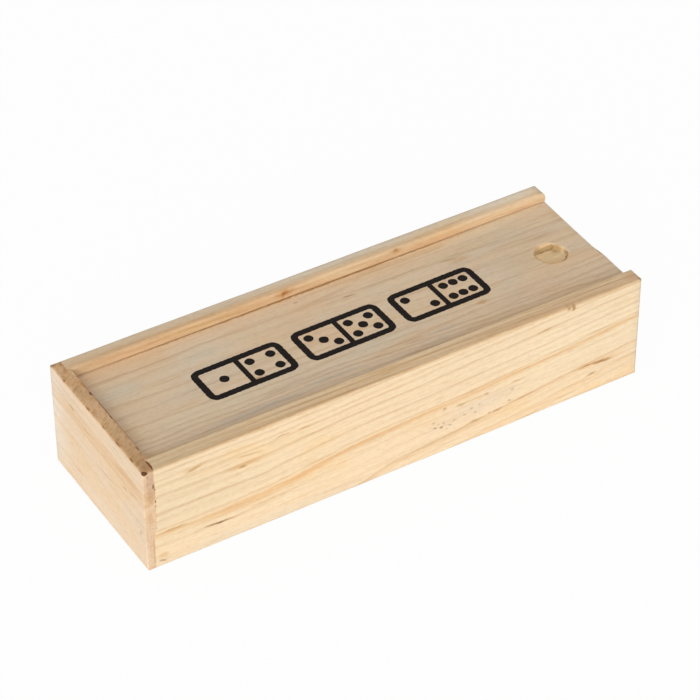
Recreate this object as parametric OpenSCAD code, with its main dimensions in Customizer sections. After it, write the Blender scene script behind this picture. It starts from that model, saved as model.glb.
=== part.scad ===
// Wooden box with a sliding lid, for a set of tiles.
// Millimetres, +Z up. The origin is the centre of the underside.
// +X is the end that the lid slides out of, -Y is the front.
// Each board is its own solid: two ends, two sides, a bottom and the lid.

/* [Box] */

// Outside length, from the closed end to the open end
box_length = 150; // [130:0.5:170]

// Outside width across the two side boards
box_width = 50.5; // [44:0.5:60]

// Outside height, from the underside to the rim
box_height = 32.4; // [28:0.2:40]

/* [Boards] */

// Thickness of each long side board
side_thickness = 5; // [4.5:0.1:6.5]

// Thickness of the closed end board between the sides
closed_end_thickness = 4; // [3.6:0.1:5]

// How much of the closed end board laps over the ends of the sides
corner_lap = 3; // [2.4:0.1:3.2]

// Thickness of the low end board under the open end
low_end_thickness = 5; // [4:0.1:6.5]

// Depth of the housing in each side that holds the low end board
low_end_housing = 1.5; // [0.8:0.1:2.2]

// Thickness of the bottom panel
bottom_thickness = 3; // [2:0.1:4]

// Depth of the rebate in the sides that holds the bottom panel
bottom_rebate = 2.5; // [1.5:0.1:3]

/* [Lid] */

// Thickness of the sliding lid
lid_thickness = 3; // [2.4:0.1:3.6]

// How far the top of the lid lies below the rim
lid_drop = 3.1; // [2.4:0.1:4]

// Depth of the lid's groove in each side board
groove_depth = 2.2; // [1.5:0.1:2.8]

// Free height above the lid in its grooves
lid_top_clearance = 0.2; // [0.1:0.05:0.4]

// Free width at each long edge of the lid
lid_side_clearance = 0.25; // [0.1:0.05:0.4]

// Free length at the lid's leading edge when it is shut
lid_end_clearance = 0.2; // [0.1:0.05:0.5]

// Corner radius at the lid's leading edge
lid_lead_radius = 1.2; // [0.5:0.1:2]

/* [Thumb notch] */

// Diameter of the round thumb notch in the lid
notch_diameter = 9; // [7:0.5:14]

// Depth of the thumb notch
notch_depth = 1.4; // [0.8:0.1:1.8]

// Distance from the open end to the middle of the notch
notch_setback = 12; // [9:0.5:24]

// Radius of the eased lip round the notch
notch_lip = 0.3; // [0.1:0.1:0.5]

/* [Edges] */

// Radius of the sanded outer edges
edge_radius = 0.7; // [0.3:0.1:1]

// Radius of the upright outer corners
corner_radius = 0.9; // [0.3:0.1:1.5]

// Radius of the back rail's outer top edge, which is worn rounder
back_rail_radius = 1.2; // [0.7:0.1:2.4]

/* [Hidden] */

$fn = 48;
overcut = 1;
half_length = box_length / 2;
half_width = box_width / 2;
inner_half_width = half_width - side_thickness;
inner_left = closed_end_thickness - half_length;
shoulder_x = corner_lap - half_length;
inner_right = half_length - low_end_thickness;
lid_top = box_height - lid_drop;
lid_underside = lid_top - lid_thickness;
groove_height = lid_thickness + lid_top_clearance;
groove_half_width = inner_half_width + groove_depth;
lid_half_width = groove_half_width - lid_side_clearance;
lid_left = shoulder_x + lid_end_clearance;
lid_length = half_length - lid_left;
rebate_half_width = inner_half_width + bottom_rebate;
rebate_right = half_length - low_end_thickness / 2;
housing_half_width = inner_half_width + low_end_housing;
notch_x = half_length - notch_setback;

pine = [0.93, 0.80, 0.61];
pine_side = [0.97, 0.86, 0.68];
pine_end = [0.90, 0.76, 0.55];
pine_lid = [0.82, 0.70, 0.55];

// A block between two opposite corners.
module block(low, high) {
    translate(low)
        cube(high - low);
}

// A rectangle between two corners, each corner rounded with its own radius.
// Radii run low-low, high-low, high-high, low-high.
module rounded_rectangle(low, high, radii) {
    corners = [low, [high[0], low[1]], high, [low[0], high[1]]];
    inward = [[1, 1], [-1, 1], [-1, -1], [1, -1]];
    difference() {
        translate(low)
            square(high - low);
        for (i = [0 : 3]) {
            corner_cut(corners[i], inward[i], radii[i]);
        }
    }
}

// What a rounded corner takes off a square one.
module corner_cut(corner, inward, radius) {
    centre = corner + inward * radius;
    difference() {
        translate(corner - inward * overcut / 2)
            mirror([inward[0] < 0 ? 1 : 0, 0])
                mirror([0, inward[1] < 0 ? 1 : 0])
                    square(radius + overcut / 2);
        translate(centre)
            circle(radius);
    }
}

// The whole box as one sanded block: every outer edge is eased,
// and the back rail's outer top edge is rounder than the others.
module sanded_block() {
    intersection() {
        sanded_end_view();
        sanded_front_view();
        sanded_plan();
    }
}

// The sanded outline seen along the length, run from end to end.
module sanded_end_view() {
    translate([-half_length - overcut, 0, 0])
        rotate([90, 0, 90])
            linear_extrude(box_length + 2 * overcut)
                rounded_rectangle(
                    [-half_width, 0], [half_width, box_height],
                    [edge_radius, edge_radius, back_rail_radius, edge_radius]);
}

// The sanded outline seen from the front, run from front to back.
module sanded_front_view() {
    translate([0, half_width + overcut, 0])
        rotate([90, 0, 0])
            linear_extrude(box_width + 2 * overcut)
                rounded_rectangle(
                    [-half_length, 0], [half_length, box_height],
                    [edge_radius, edge_radius, edge_radius, edge_radius]);
}

// The sanded outline seen from above, run from bottom to top.
module sanded_plan() {
    translate([0, 0, -overcut])
        linear_extrude(box_height + 2 * overcut)
            rounded_rectangle(
                [-half_length, -half_width], [half_length, half_width],
                [corner_radius, corner_radius, corner_radius, corner_radius]);
}

// The space that the lid runs in: both side grooves and the one in the closed end.
module lid_groove() {
    block(
        [shoulder_x, -groove_half_width, lid_underside],
        [half_length + overcut, groove_half_width, lid_underside + groove_height]);
}

// The space that the bottom panel fills.
module bottom_space() {
    block(
        [shoulder_x, -rebate_half_width, -overcut],
        [rebate_right, rebate_half_width, bottom_thickness]);
}

// The space that the low end board fills, down to the underside.
module low_end_space() {
    block(
        [inner_right, -housing_half_width, -overcut],
        [half_length + overcut, housing_half_width, lid_underside]);
}

// One long side board: 1 is the back one, -1 the front one.
module side_board(direction) {
    difference() {
        intersection() {
            sanded_block();
            mirror([0, direction < 0 ? 1 : 0, 0])
                block(
                    [shoulder_x, inner_half_width, 0],
                    [half_length, half_width, box_height]);
        }
        lid_groove();
        bottom_space();
        low_end_space();
    }
}

module front_side() {
    color(pine_side)
        side_board(-1);
}

module back_side() {
    color(pine_side)
        side_board(1);
}

// The closed end: a full-width board that laps over the ends of the sides,
// with a tongue between them that carries the end of the lid's groove.
module closed_end() {
    color(pine_end)
        intersection() {
            sanded_block();
            union() {
                block(
                    [-half_length, -half_width, 0],
                    [shoulder_x, half_width, box_height]);
                difference() {
                    block(
                        [shoulder_x - overcut, -inner_half_width, 0],
                        [inner_left, inner_half_width, box_height]);
                    lid_groove();
                    bottom_space();
                }
            }
        }
}

// The low end board: housed in both sides, its top level with the groove's floor.
module low_end() {
    color(pine_end)
        difference() {
            intersection() {
                sanded_block();
                low_end_space();
            }
            bottom_space();
        }
}

module bottom_panel() {
    color(pine)
        block(
            [shoulder_x, -rebate_half_width, 0],
            [rebate_right, rebate_half_width, bottom_thickness]);
}

// The lid: a thin board with rounded leading corners and the thumb notch.
module sliding_lid() {
    color(pine_lid)
        difference() {
            translate([0, 0, lid_underside])
                linear_extrude(lid_thickness)
                    rounded_rectangle(
                        [lid_left, -lid_half_width], [half_length, lid_half_width],
                        [lid_lead_radius, edge_radius / 2, edge_radius / 2, lid_lead_radius]);
            translate([notch_x, 0, lid_top])
                thumb_notch();
        }
}

// The round recess for a thumb, with an eased lip where it meets the lid.
module thumb_notch() {
    notch_radius = notch_diameter / 2;
    translate([0, 0, -notch_depth])
        cylinder(h = notch_depth + overcut, r = notch_radius);
    rotate_extrude()
        translate([notch_radius, 0])
            difference() {
                translate([-overcut, -notch_lip])
                    square([notch_lip + overcut, notch_lip + overcut]);
                translate([notch_lip, -notch_lip])
                    circle(notch_lip);
            }
}

closed_end();
low_end();
front_side();
back_side();
bottom_panel();
sliding_lid();
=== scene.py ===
"""Pine box with a sliding lid for a set of domino tiles: six glued boards, their grain, and an ink print.

Lengths are in millimetres until a mesh is made.  +X is the open end that the
lid slides out of, -Y is the front and the underside lies on Z = 0.
"""

import logging
import math
from dataclasses import dataclass, field
from enum import Enum
from typing import Callable, Sequence

import bmesh
import bpy
import numpy as np
from mathutils import Matrix, Vector


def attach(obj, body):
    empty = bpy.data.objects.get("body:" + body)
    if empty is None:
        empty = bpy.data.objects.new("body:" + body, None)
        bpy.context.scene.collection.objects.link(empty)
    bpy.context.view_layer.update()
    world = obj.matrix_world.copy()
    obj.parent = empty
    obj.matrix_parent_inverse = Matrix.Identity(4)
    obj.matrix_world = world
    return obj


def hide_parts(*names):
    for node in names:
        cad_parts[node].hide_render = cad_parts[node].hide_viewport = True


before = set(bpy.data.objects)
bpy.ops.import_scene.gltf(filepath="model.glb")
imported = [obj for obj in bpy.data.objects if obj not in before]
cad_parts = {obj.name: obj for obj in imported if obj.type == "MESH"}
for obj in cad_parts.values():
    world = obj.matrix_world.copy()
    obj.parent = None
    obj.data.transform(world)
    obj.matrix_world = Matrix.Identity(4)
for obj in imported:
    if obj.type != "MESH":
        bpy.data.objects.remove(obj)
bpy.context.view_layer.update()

LOG = logging.getLogger("domino_box")
METRES = 0.001
# Degrees past which an edge stays sharp, and metres within which points are merged.
SHARP_ANGLE = 32.0
MERGE_DISTANCE = 1e-7
Colour = tuple[float, float, float]
Triple = tuple[float, float, float]
Array = np.ndarray
Tree = bpy.types.NodeTree
WHITE: Colour = (1.0, 1.0, 1.0)


class Side(Enum):
    """Which long side board: the sign of its Y."""

    FRONT = -1
    BACK = 1


# --------------------------------------------------------------------------- sizes


@dataclass(frozen=True)
class BoxSizes:
    """Sizes shared by the boards: first those that a maker sets, then those worked out from them."""

    length: float = 150.0
    width: float = 50.5
    height: float = 32.4
    side_thickness: float = 5.0
    closed_end_thickness: float = 4.0
    corner_lap: float = 3.0
    low_end_thickness: float = 5.0
    low_end_housing: float = 1.5
    bottom_top: float = 3.0
    bottom_rebate: float = 2.5
    lid_thickness: float = 3.0
    lid_drop: float = 3.1
    groove_depth: float = 2.2
    lid_top_gap: float = 0.2
    lid_side_gap: float = 0.25
    lid_end_gap: float = 0.2
    notch_setback: float = 12.0
    edge_radius: float = 0.7
    front_rail_radius: float = 0.4
    corner_radius: float = 0.9
    back_rail_radius: float = 1.2
    front_tip_radius: float = 0.9
    back_tip_radius: float = 1.5
    inner_radius: float = 0.3
    back_inner_radius: float = 0.75
    joint_drift: float = 0.95

    half_length: float = length / 2
    half_width: float = width / 2
    inner_half_width: float = half_width - side_thickness
    inner_left: float = closed_end_thickness - half_length
    shoulder: float = corner_lap - half_length
    inner_right: float = half_length - low_end_thickness
    lid_top: float = height - lid_drop
    low_end_top: float = lid_top - lid_thickness
    groove_top: float = lid_top + lid_top_gap
    groove_half_width: float = inner_half_width + groove_depth
    housing_half_width: float = inner_half_width + low_end_housing
    rebate_half_width: float = inner_half_width + bottom_rebate
    rebate_right: float = half_length - low_end_thickness / 2
    lid_left: float = shoulder + lid_end_gap
    lid_half_width: float = groove_half_width - lid_side_gap
    notch_x: float = half_length - notch_setback

    def joint(self, height: Array) -> Array:
        """How far the front joint strays towards the closed end: a smooth step, widest at the foot."""
        return self.joint_drift * (1 - smooth(height, 6.0, 16.0))


BOX = BoxSizes()

# Radius of the notch's worn rim.
NOTCH_RIM = 4.75
# How far the broken corner reaches along Y, down and along X.
CHIP_LEGS: Triple = (1.7, 1.1, 1.8)
# Distances in from an outer face over which sanding takes hold.
SANDED_DEPTH, SANDED_SKIN = 1.2, 0.2
# Steps away from an edge at which an outline gets extra points, and those along a rounded end.
EDGE_STEPS = (0.35, 0.9, 1.7)
ROUND_STEPS = (0.0, 0.03, 0.12, 0.27, 0.5, 0.9)
# Y from which places on the lid are counted, towards the front.
LID_START = 20.5


class Cut(Enum):
    """How a board is cut: its along, across and depth axes and where they start.

    Across runs down from the rim on upright boards and towards the front on flat ones.
    """

    FRONT = ((1, 0, 0), (0, 0, -1), (0, 1, 0), (-BOX.half_length, -BOX.half_width, BOX.height))
    BACK = ((1, 0, 0), (0, 0, -1), (0, -1, 0), (-BOX.half_length, BOX.half_width, BOX.height))
    CLOSED_END = ((0, -1, 0), (0, 0, -1), (1, 0, 0), (-BOX.half_length, BOX.half_width, BOX.height))
    LOW_END = ((0, -1, 0), (0, 0, -1), (-1, 0, 0), (BOX.half_length, BOX.half_width, BOX.height))
    BOTTOM = ((1, 0, 0), (0, -1, 0), (0, 0, -1), (-BOX.half_length, BOX.rebate_half_width, BOX.bottom_top))
    LID = ((1, 0, 0), (0, -1, 0), (0, 0, -1), (-BOX.half_length, LID_START, BOX.lid_top))


# --------------------------------------------------------------------------- surfaces


@dataclass(frozen=True)
class Corner:
    """One corner of an outline and the radius that it is eased to."""

    u: float
    v: float
    radius: float = 0.0
    parts: int = 5

    def arc(self, before: Array, after: Array) -> Array:
        """Points of a quarter turn about a centre that lies a radius in along both directions.

        Each is the centre less the leaving direction times the cosine plus the arriving one times the sine.

        Args:
            before: unit direction in which the outline arrives.
            after: unit direction in which it leaves.

        Returns:
            The points, one row each.
        """
        tip = np.array([self.u, self.v])
        if self.radius == 0:
            return tip[None, :]
        turn = np.linspace(0, math.pi / 2, self.parts + 1)[:, None]
        centre = tip + self.radius * (after - before)
        return centre + self.radius * (before * np.sin(turn) - after * np.cos(turn))


def straight(start: Array, end: Array, spacing: float) -> Array:
    """Inner points of a straight run, closer together near its ends where the edge is worn.

    Args:
        start: first point, left out.
        end: last point, left out.
        spacing: widest step between points.

    Returns:
        The points, one row each.
    """
    length = float(np.linalg.norm(end - start))
    near = np.array([step for step in EDGE_STEPS if step < length / 2.2])
    first = near[-1] if len(near) else 0.0
    steps = max(int(math.ceil((length - 2 * first) / spacing)), 1)
    middle = np.linspace(first, length - first, steps + 1)[1:-1]
    where = np.concatenate([near, middle, length - near[::-1]])[:, None]
    return start + (end - start) * where / length


def outline(corners: Sequence[Corner], spacing: float = 1.6) -> Array:
    """Closed outline through eased square corners joined by straight runs.

    Args:
        corners: the corners in order.
        spacing: widest step along the straight runs.

    Returns:
        Points round the outline, one row each.
    """
    tips = np.array([[c.u, c.v] for c in corners])
    runs = np.roll(tips, -1, axis=0) - tips
    runs /= np.linalg.norm(runs, axis=1)[:, None]
    arcs = [c.arc(runs[i - 1], runs[i]) for i, c in enumerate(corners)]
    parts: list[Array] = []
    for i, arc in enumerate(arcs):
        parts += [arc, straight(arc[-1], arcs[(i + 1) % len(arcs)][0], spacing)]
    return np.concatenate(parts)


def stations(
    start: float, end: float, spacing: float, extra: Sequence[float] = (), ends: Sequence[float] = ()
) -> Array:
    """Places along a path: even steps, chosen extras, and a close series next to each rounded end.

    Args:
        start: first place.
        end: last place.
        spacing: widest step.
        extra: places that are added; a pair of equal ones makes a step.
        ends: the ends, start or end or both, that are rounded.

    Returns:
        The places in rising order.
    """
    close = np.array(ROUND_STEPS)
    near = [e + close if e == start else e - close for e in ends]
    added = np.concatenate([np.asarray(extra, float), *near])
    fixed = np.concatenate([[start, end], added])
    even = np.linspace(start, end, int((end - start) / spacing) + 1)
    gap = np.min(np.abs(even[:, None] - fixed[None, :]), axis=1)
    singles = np.array([v for v in (start, end) if v not in ends and v not in extra], float)
    return np.sort(np.concatenate([even[gap > 0.45 * spacing], added, singles]))


def carried(places: Array, flat: Array, along_x: bool = True) -> Array:
    """Carries an outline along X or Y.

    Args:
        places: where the outline is set down.
        flat: the outline, its height in the second column.
        along_x: along X with an outline in Y and Z, otherwise along Y with one in X and Z.

    Returns:
        The X, Y and Z of every point, each a row for every place.
    """
    path = np.repeat(places[:, None], len(flat), axis=1)
    level, height = (np.repeat(flat[None, :, i], len(places), axis=0) for i in (0, 1))
    return np.array([path, level, height] if along_x else [level, path, height])


def eased(distance: Array, radius: float) -> Array:
    """How far a round edge lies inside its square one: the radius less the height of its quarter circle.

    Args:
        distance: distance in from the end, in millimetres.
        radius: radius of the edge.

    Returns:
        The inset at each distance, zero past the radius.
    """
    lack = np.clip(radius - distance, 0, radius)
    return radius - np.sqrt(radius**2 - lack**2)


def smooth(value: Array, low: float, high: float) -> Array:
    """Smooth step: zero at low, one at high, level at both.

    Args:
        value: the numbers.
        low: where the step starts.
        high: where it ends.

    Returns:
        A share from zero to one for each number.
    """
    t = np.clip((value - low) / (high - low), 0, 1)
    return t * t * (3 - 2 * t)


def window(value: Array, rise: float, full: float, fall: float, end: float) -> Array:
    """A share that comes in smoothly between two numbers and goes out between two more.

    Args:
        value: the numbers.
        rise: where it starts to come in.
        full: where it is one.
        fall: where it starts to go out.
        end: where it is zero again.

    Returns:
        A share from zero to one for each number.
    """
    return smooth(value, rise, full) * (1 - smooth(value, fall, end))


def ripple(points: Array) -> Array:
    """Slow unevenness of a hand-sanded face: three sine waves of unrelated lengths, averaged.

    Args:
        points: positions, last axis X, Y, Z.

    Returns:
        A share from zero to one at each position.
    """
    x, y, z = points[..., 0], points[..., 1], points[..., 2]
    waves = (
        np.sin(x / 9.7 + y / 6.1 + z / 7.3 + 0.4)
        + np.sin(x / 23.9 - y / 11.3 + z / 17.9 + 2.1)
        + 0.6 * np.sin(x / 3.7 + y / 2.9 - z / 4.3 + 4.4)
    )
    return 0.5 + waves / 5.2


def sanded(points: Array, wander: float = 0.08) -> Array:
    """Keeps a board inside the sanded box and lets its outer faces sink by a slow ripple.

    The plan has round upright corners and the two elevations have round edges.
    Each outer face moves inwards by the ripple times the wander, inner ones stay.

    Args:
        points: positions in millimetres, last axis X, Y, Z.
        wander: deepest hollow of an outer face.

    Returns:
        The positions after sanding.
    """
    p = points.copy()
    far = BOX.half_length - np.abs(p[..., 0])
    wide = BOX.half_width - eased(far, BOX.corner_radius)
    crown = np.where(p[..., 1] > 0, BOX.back_rail_radius, BOX.front_rail_radius)
    tip = (p[..., 0] > 0) & (p[..., 2] > BOX.groove_top)
    back_tip, front_tip = eased(far, BOX.back_tip_radius), eased(far, BOX.front_tip_radius)
    tip_inset = np.where(p[..., 1] > 0, back_tip, front_tip)
    inset_x = np.where(tip, tip_inset, eased(far, BOX.edge_radius))
    aside = BOX.half_width - np.abs(p[..., 1])
    inset_top = crown - np.sqrt(crown**2 - np.clip(crown - aside, 0, crown) ** 2)
    inset_low = eased(aside, BOX.edge_radius)
    p[..., 1] = np.clip(p[..., 1], -wide, wide)
    lowest, highest = np.maximum(inset_x, inset_low), BOX.height - np.maximum(inset_x, inset_top)
    p[..., 2] = np.clip(p[..., 2], lowest, highest)
    sink = wander * ripple(p)
    outer_y = smooth(np.abs(points[..., 1]), BOX.half_width - SANDED_DEPTH, BOX.half_width - SANDED_SKIN)
    outer_x = smooth(np.abs(points[..., 0]), BOX.half_length - SANDED_DEPTH, BOX.half_length - SANDED_SKIN)
    top = smooth(points[..., 2], BOX.groove_top + 1.0, BOX.height - SANDED_SKIN)
    low = 1 - smooth(points[..., 2], SANDED_SKIN, SANDED_DEPTH)
    p[..., 0] -= np.sign(p[..., 0]) * sink * outer_x
    p[..., 1] -= np.sign(p[..., 1]) * sink * outer_y
    p[..., 2] += sink * (low - top)
    return p


def arris_wear_and_light(points: Array) -> Array:
    """Nearness to an edge, used for wear and for painted edge shade and highlight: a bell curve of the
    distance to the nearest one.

    The outer edges are as far as the second nearest outer face, the rails' inner
    edges a little less worn, and the notch's rim counts only near the lid's face.

    Args:
        points: positions in millimetres, one row each.

    Returns:
        One on an edge, falling to zero about a millimetre away.
    """
    reach, rail_lag, rim_depth, face_depth = 0.55, 0.15, 4.0, 2.0
    gaps = np.stack(
        [
            BOX.half_length - np.abs(points[:, 0]),
            BOX.half_width - np.abs(points[:, 1]),
            BOX.height - points[:, 2],
            points[:, 2],
        ]
    )
    second = np.sort(gaps, axis=0)[1]
    rail = np.hypot(np.abs(points[:, 1]) - BOX.inner_half_width, BOX.height - points[:, 2])
    around = np.abs(np.hypot(points[:, 0] - BOX.notch_x, points[:, 1]) - NOTCH_RIM)
    below = BOX.lid_top - points[:, 2]
    rim = around + np.clip(below, 0, rim_depth) + (np.abs(below) > face_depth)
    return np.exp(-((np.minimum(np.minimum(second, rail + rail_lag), rim) / reach) ** 2))


def grid_faces(rows: int, columns: int, wrap_rows: bool = False, offset: int = 0) -> Array:
    """Corner numbers of the four-sided faces of a grid whose columns close on themselves.

    Args:
        rows: number of rows.
        columns: number of points in a row.
        wrap_rows: whether the last row joins the first.
        offset: number of the grid's first point.

    Returns:
        Four corner numbers for each face.
    """
    count = rows if wrap_rows else rows - 1
    r, c = np.meshgrid(np.arange(count), np.arange(columns), indexing="ij")
    nr, nc = (r + 1) % rows, (c + 1) % columns
    quads = np.stack([r * columns + c, r * columns + nc, nr * columns + nc, nr * columns + c], axis=-1)
    return quads.reshape(-1, 4) + offset


def put(name: str, data: bpy.types.ID) -> bpy.types.Object:
    """Makes an object of a mesh, lamp or camera and links it to the scene."""
    made = bpy.data.objects.new(name, data)
    bpy.context.scene.collection.objects.link(made)
    return made


def mesh_object(name: str, points: Array, faces: list[list[int]]) -> bpy.types.Object:
    """Makes a merged object at the origin that faces outwards and is smooth between its sharp edges.

    Args:
        name: name of the piece.
        points: positions in millimetres, one row each.
        faces: corner numbers of each face.

    Returns:
        The new object.
    """
    mesh = bpy.data.meshes.new(name)
    mesh.from_pydata((points * METRES).tolist(), [], faces)
    shape = bmesh.new()
    shape.from_mesh(mesh)
    bmesh.ops.remove_doubles(shape, verts=shape.verts, dist=MERGE_DISTANCE)
    bmesh.ops.recalc_face_normals(shape, faces=shape.faces)
    shape.to_mesh(mesh)
    shape.free()
    mesh.polygons.foreach_set("use_smooth", np.ones(len(mesh.polygons), dtype=bool))
    mesh.set_sharp_from_angle(angle=math.radians(SHARP_ANGLE))
    piece = put(name, mesh)
    store(piece, "arris", arris_wear_and_light)
    return piece


def store(piece: bpy.types.Object, name: str, measure: Callable[[Array], Array]) -> None:
    """Stores a number at every point of a piece for its material.

    Args:
        piece: the object.
        name: name of the attribute.
        measure: gives the number at each position in millimetres.
    """
    places = np.empty(len(piece.data.vertices) * 3)
    piece.data.vertices.foreach_get("co", places)
    made = piece.data.attributes.new(name, "FLOAT", "POINT")
    made.data.foreach_set("value", measure(places.reshape(-1, 3) / METRES).astype(np.float32))


def swept(name: str, grid: Array) -> bpy.types.Object:
    """A closed board from a grid of outlines, one row each, with a face over the first and the last.

    Args:
        name: name of the piece.
        grid: positions in millimetres, rows by points by X, Y, Z.

    Returns:
        The new object.
    """
    rows, columns = grid.shape[:2]
    sides = grid_faces(rows, columns).tolist()
    ends = [list(range(columns))[::-1], list(range((rows - 1) * columns, rows * columns))]
    return mesh_object(name, grid.reshape(-1, 3), sides + ends)


# --------------------------------------------------------------------------- shader graph


Socket = bpy.types.NodeSocket
Feed = object


@dataclass(frozen=True)
class Pattern:
    """A noise: waves in a millimetre, finer layers, shift, bending and the levels between which it shows."""

    stretch: Triple
    detail: float = 2.0
    shift: float = 0.0
    bending: float = 0.0
    levels: tuple[float, float] = (0.0, 1.0)


class Graph:
    """A node tree being filled: each method adds a node and gives back its output."""

    def __init__(self, tree: Tree) -> None:
        """Keeps the tree."""
        self.tree = tree

    def node(self, kind: str, **settings: object) -> bpy.types.Node:
        """Adds a node.

        Args:
            kind: the end of its type's name.
            settings: its properties.

        Returns:
            The node.
        """
        made = self.tree.nodes.new("ShaderNode" + kind)
        for key, value in settings.items():
            setattr(made, key, value)
        return made

    def feed(self, socket: Socket, value: Feed) -> None:
        """Links an output to a socket, or sets the socket to a number, vector or colour.

        Args:
            socket: the input to fill.
            value: an output, a number or a tuple.
        """
        if isinstance(value, bpy.types.NodeSocket):
            self.tree.links.new(value, socket)
        elif socket.type == "RGBA":
            socket.default_value = (*value, 1.0)
        else:
            socket.default_value = value

    def fed(self, kind: str, *values: Feed, **settings: object) -> bpy.types.Node:
        """Adds a node and fills its first inputs.

        Args:
            kind: the end of its type's name.
            values: what goes into its inputs, in their order.
            settings: its properties.

        Returns:
            The node.
        """
        made = self.node(kind, **settings)
        for socket, value in zip(made.inputs, values):
            self.feed(socket, value)
        return made

    def math(self, operation: str, *values: Feed, clamp: bool = False) -> Socket:
        """Adds a Math node on the values."""
        return self.fed("Math", *values, operation=operation, use_clamp=clamp).outputs[0]

    def vector(self, operation: str, *values: Feed) -> Socket:
        """Adds a Vector Math node and gives its number for a length or dot product, its vector otherwise."""
        made = self.fed("VectorMath", *values, operation=operation)
        return made.outputs["Value" if operation in ("LENGTH", "DOT_PRODUCT") else "Vector"]

    def scaled(self, value: Socket, factor: float) -> Socket:
        """Multiplies a vector by one number."""
        result = self.vector("SCALE", value)
        result.node.inputs["Scale"].default_value = factor
        return result

    def join(self, x: Feed, y: Feed, z: Feed) -> Socket:
        """Makes a vector of three numbers."""
        return self.fed("CombineXYZ", x, y, z).outputs[0]

    def split(self, value: Socket) -> tuple[Socket, Socket, Socket]:
        """The three numbers of a vector."""
        return tuple(self.fed("SeparateXYZ", value).outputs)

    def span(
        self, value: Feed, low: Feed, high: Feed, start: Feed = 0.0, end: Feed = 1.0, soft: bool = True
    ) -> Socket:
        """Maps a range to another and stays inside it, with a smooth step if soft.

        Args:
            value: the number to map.
            low: what maps to start.
            high: what maps to end.
            start: result at low.
            end: result at high.
            soft: smooth step instead of a straight one.

        Returns:
            The mapped number.
        """
        way = "SMOOTHSTEP" if soft else "LINEAR"
        made = self.fed("MapRange", value, low, high, start, end, interpolation_type=way, clamp=True)
        return made.outputs["Result"]

    def noise(self, where: Socket, pattern: Pattern) -> Socket:
        """Adds a noise on a position in millimetres: a number mostly between 0.3 and 0.7.

        Args:
            where: position in millimetres.
            pattern: the noise, moved by its shift so that no two are alike.

        Returns:
            The noise.
        """
        shift = pattern.shift
        moved = self.vector("MULTIPLY_ADD", where, pattern.stretch, (shift, shift * 0.7, shift * 1.3))
        made = self.node("TexNoise", noise_dimensions="3D")
        settings = {"Vector": moved, "Scale": 1.0, "Detail": pattern.detail, "Distortion": pattern.bending}
        for label, value in settings.items():
            self.feed(made.inputs[label], value)
        return made.outputs["Fac"]

    def shown(self, where: Socket, pattern: Pattern) -> Socket:
        """A noise as a mask: zero at the first of its levels, one at the second."""
        return self.span(self.noise(where, pattern), *pattern.levels)

    def mix(self, factor: Feed, first: Feed, second: Feed, blend: str = "MIX") -> Socket:
        """Mixes two colours.

        Args:
            factor: share of the second one.
            first: a colour.
            second: another.
            blend: how they are mixed.

        Returns:
            The mixed colour.
        """
        made = self.node("Mix", data_type="RGBA", blend_type=blend, clamp_factor=True)
        for place, value in ((0, factor), (6, first), (7, second)):
            self.feed(made.inputs[place], value)
        return made.outputs[2]

    def tinted(self, factor: Feed, colour: Feed, tint: Feed) -> Socket:
        """Multiplies a colour by a tint, as far as the factor says."""
        return self.mix(factor, colour, tint, "MULTIPLY")

    def weighed(self, *parts: tuple[Socket, float], start: Feed = 0.0, clamp: bool = False) -> Socket:
        """Adds up numbers times their weights.

        Args:
            parts: the numbers, each with its weight.
            start: what they are added to.
            clamp: whether each sum is held between zero and one.

        Returns:
            The sum.
        """
        for value, weight in parts:
            start = self.math("MULTIPLY_ADD", value, weight, start, clamp=clamp)
        return start

    def brightness(self, colour: Socket) -> Socket:
        """Brightness of a colour."""
        return self.fed("RGBToBW", colour).outputs[0]

    def ramp(self, value: Socket, stops: Sequence[tuple[float, Colour]]) -> Socket:
        """A colour ramp through the given stops.

        Args:
            value: number from zero to one.
            stops: place and colour of each stop, in rising order.

        Returns:
            The colour.
        """
        made = self.node("ValToRGB")
        bar = made.color_ramp.elements
        while len(bar) > 1:
            bar.remove(bar[-1])
        bar[0].position, bar[0].color = stops[0][0], (*stops[0][1], 1.0)
        for place, colour in stops[1:]:
            bar.new(place).color = (*colour, 1.0)
        self.feed(made.inputs[0], value)
        return made.outputs[0]

    def group(self, tree: Tree, **values: Feed) -> bpy.types.Node:
        """Places a node group.

        Args:
            tree: the group.
            values: what goes into the inputs of these names, with spaces for underscores.

        Returns:
            The group's node.
        """
        made = self.tree.nodes.new("ShaderNodeGroup")
        made.node_tree = tree
        for key, value in values.items():
            self.feed(made.inputs[key.replace("_", " ")], value)
        return made


class Kind(Enum):
    """Socket types of a node group."""

    NUMBER = "NodeSocketFloat"
    VECTOR = "NodeSocketVector"
    COLOUR = "NodeSocketColor"


Sockets = dict[str, Socket]

SLOW_WAVE = Pattern((0.021, 0.09, 0.09), 1.0, 3.0)
QUICK_WAVE = Pattern((0.09, 0.35, 0.35), 1.0, 8.0)
STREAKS = Pattern((0.07, 1.25, 1.25), 3.0, 11.0, 0.5)
FLAMES = Pattern((0.028, 0.55, 0.55), 2.0, 37.0, 0.8)
FINE_FIBRES = Pattern((0.35, 5.2, 5.2), 2.0, 5.0)
PORES = Pattern((0.22, 2.6, 2.6), 1.0, 23.0, levels=(0.66, 0.78))
CLOUDS = Pattern((0.035, 0.11, 0.11), 2.0, 31.0, 0.4)
END_PORES = Pattern((0.6, 2.4, 2.4), 2.0, 41.0, levels=(0.52, 0.68))
SCRATCHES = Pattern((1.7, 0.3, 0.16), 2.0, 13.0)
BLOTCHES = Pattern((0.75, 0.3, 0.7), 2.0, 19.0, 0.6)
RAGGED_BREAK = Pattern((1.6, 1.6, 1.6), 1.0, 61.0)
BROKEN_WEAR = Pattern((0.25, 0.5, 0.5), 2.0, 29.0, levels=(0.3, 0.62))
MOTTLE = Pattern((0.7, 1.5, 1.5), 3.0, 61.0)
MARK_EDGES = Pattern((0.5, 1.8, 1.8), 2.0, 47.0)
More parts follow.
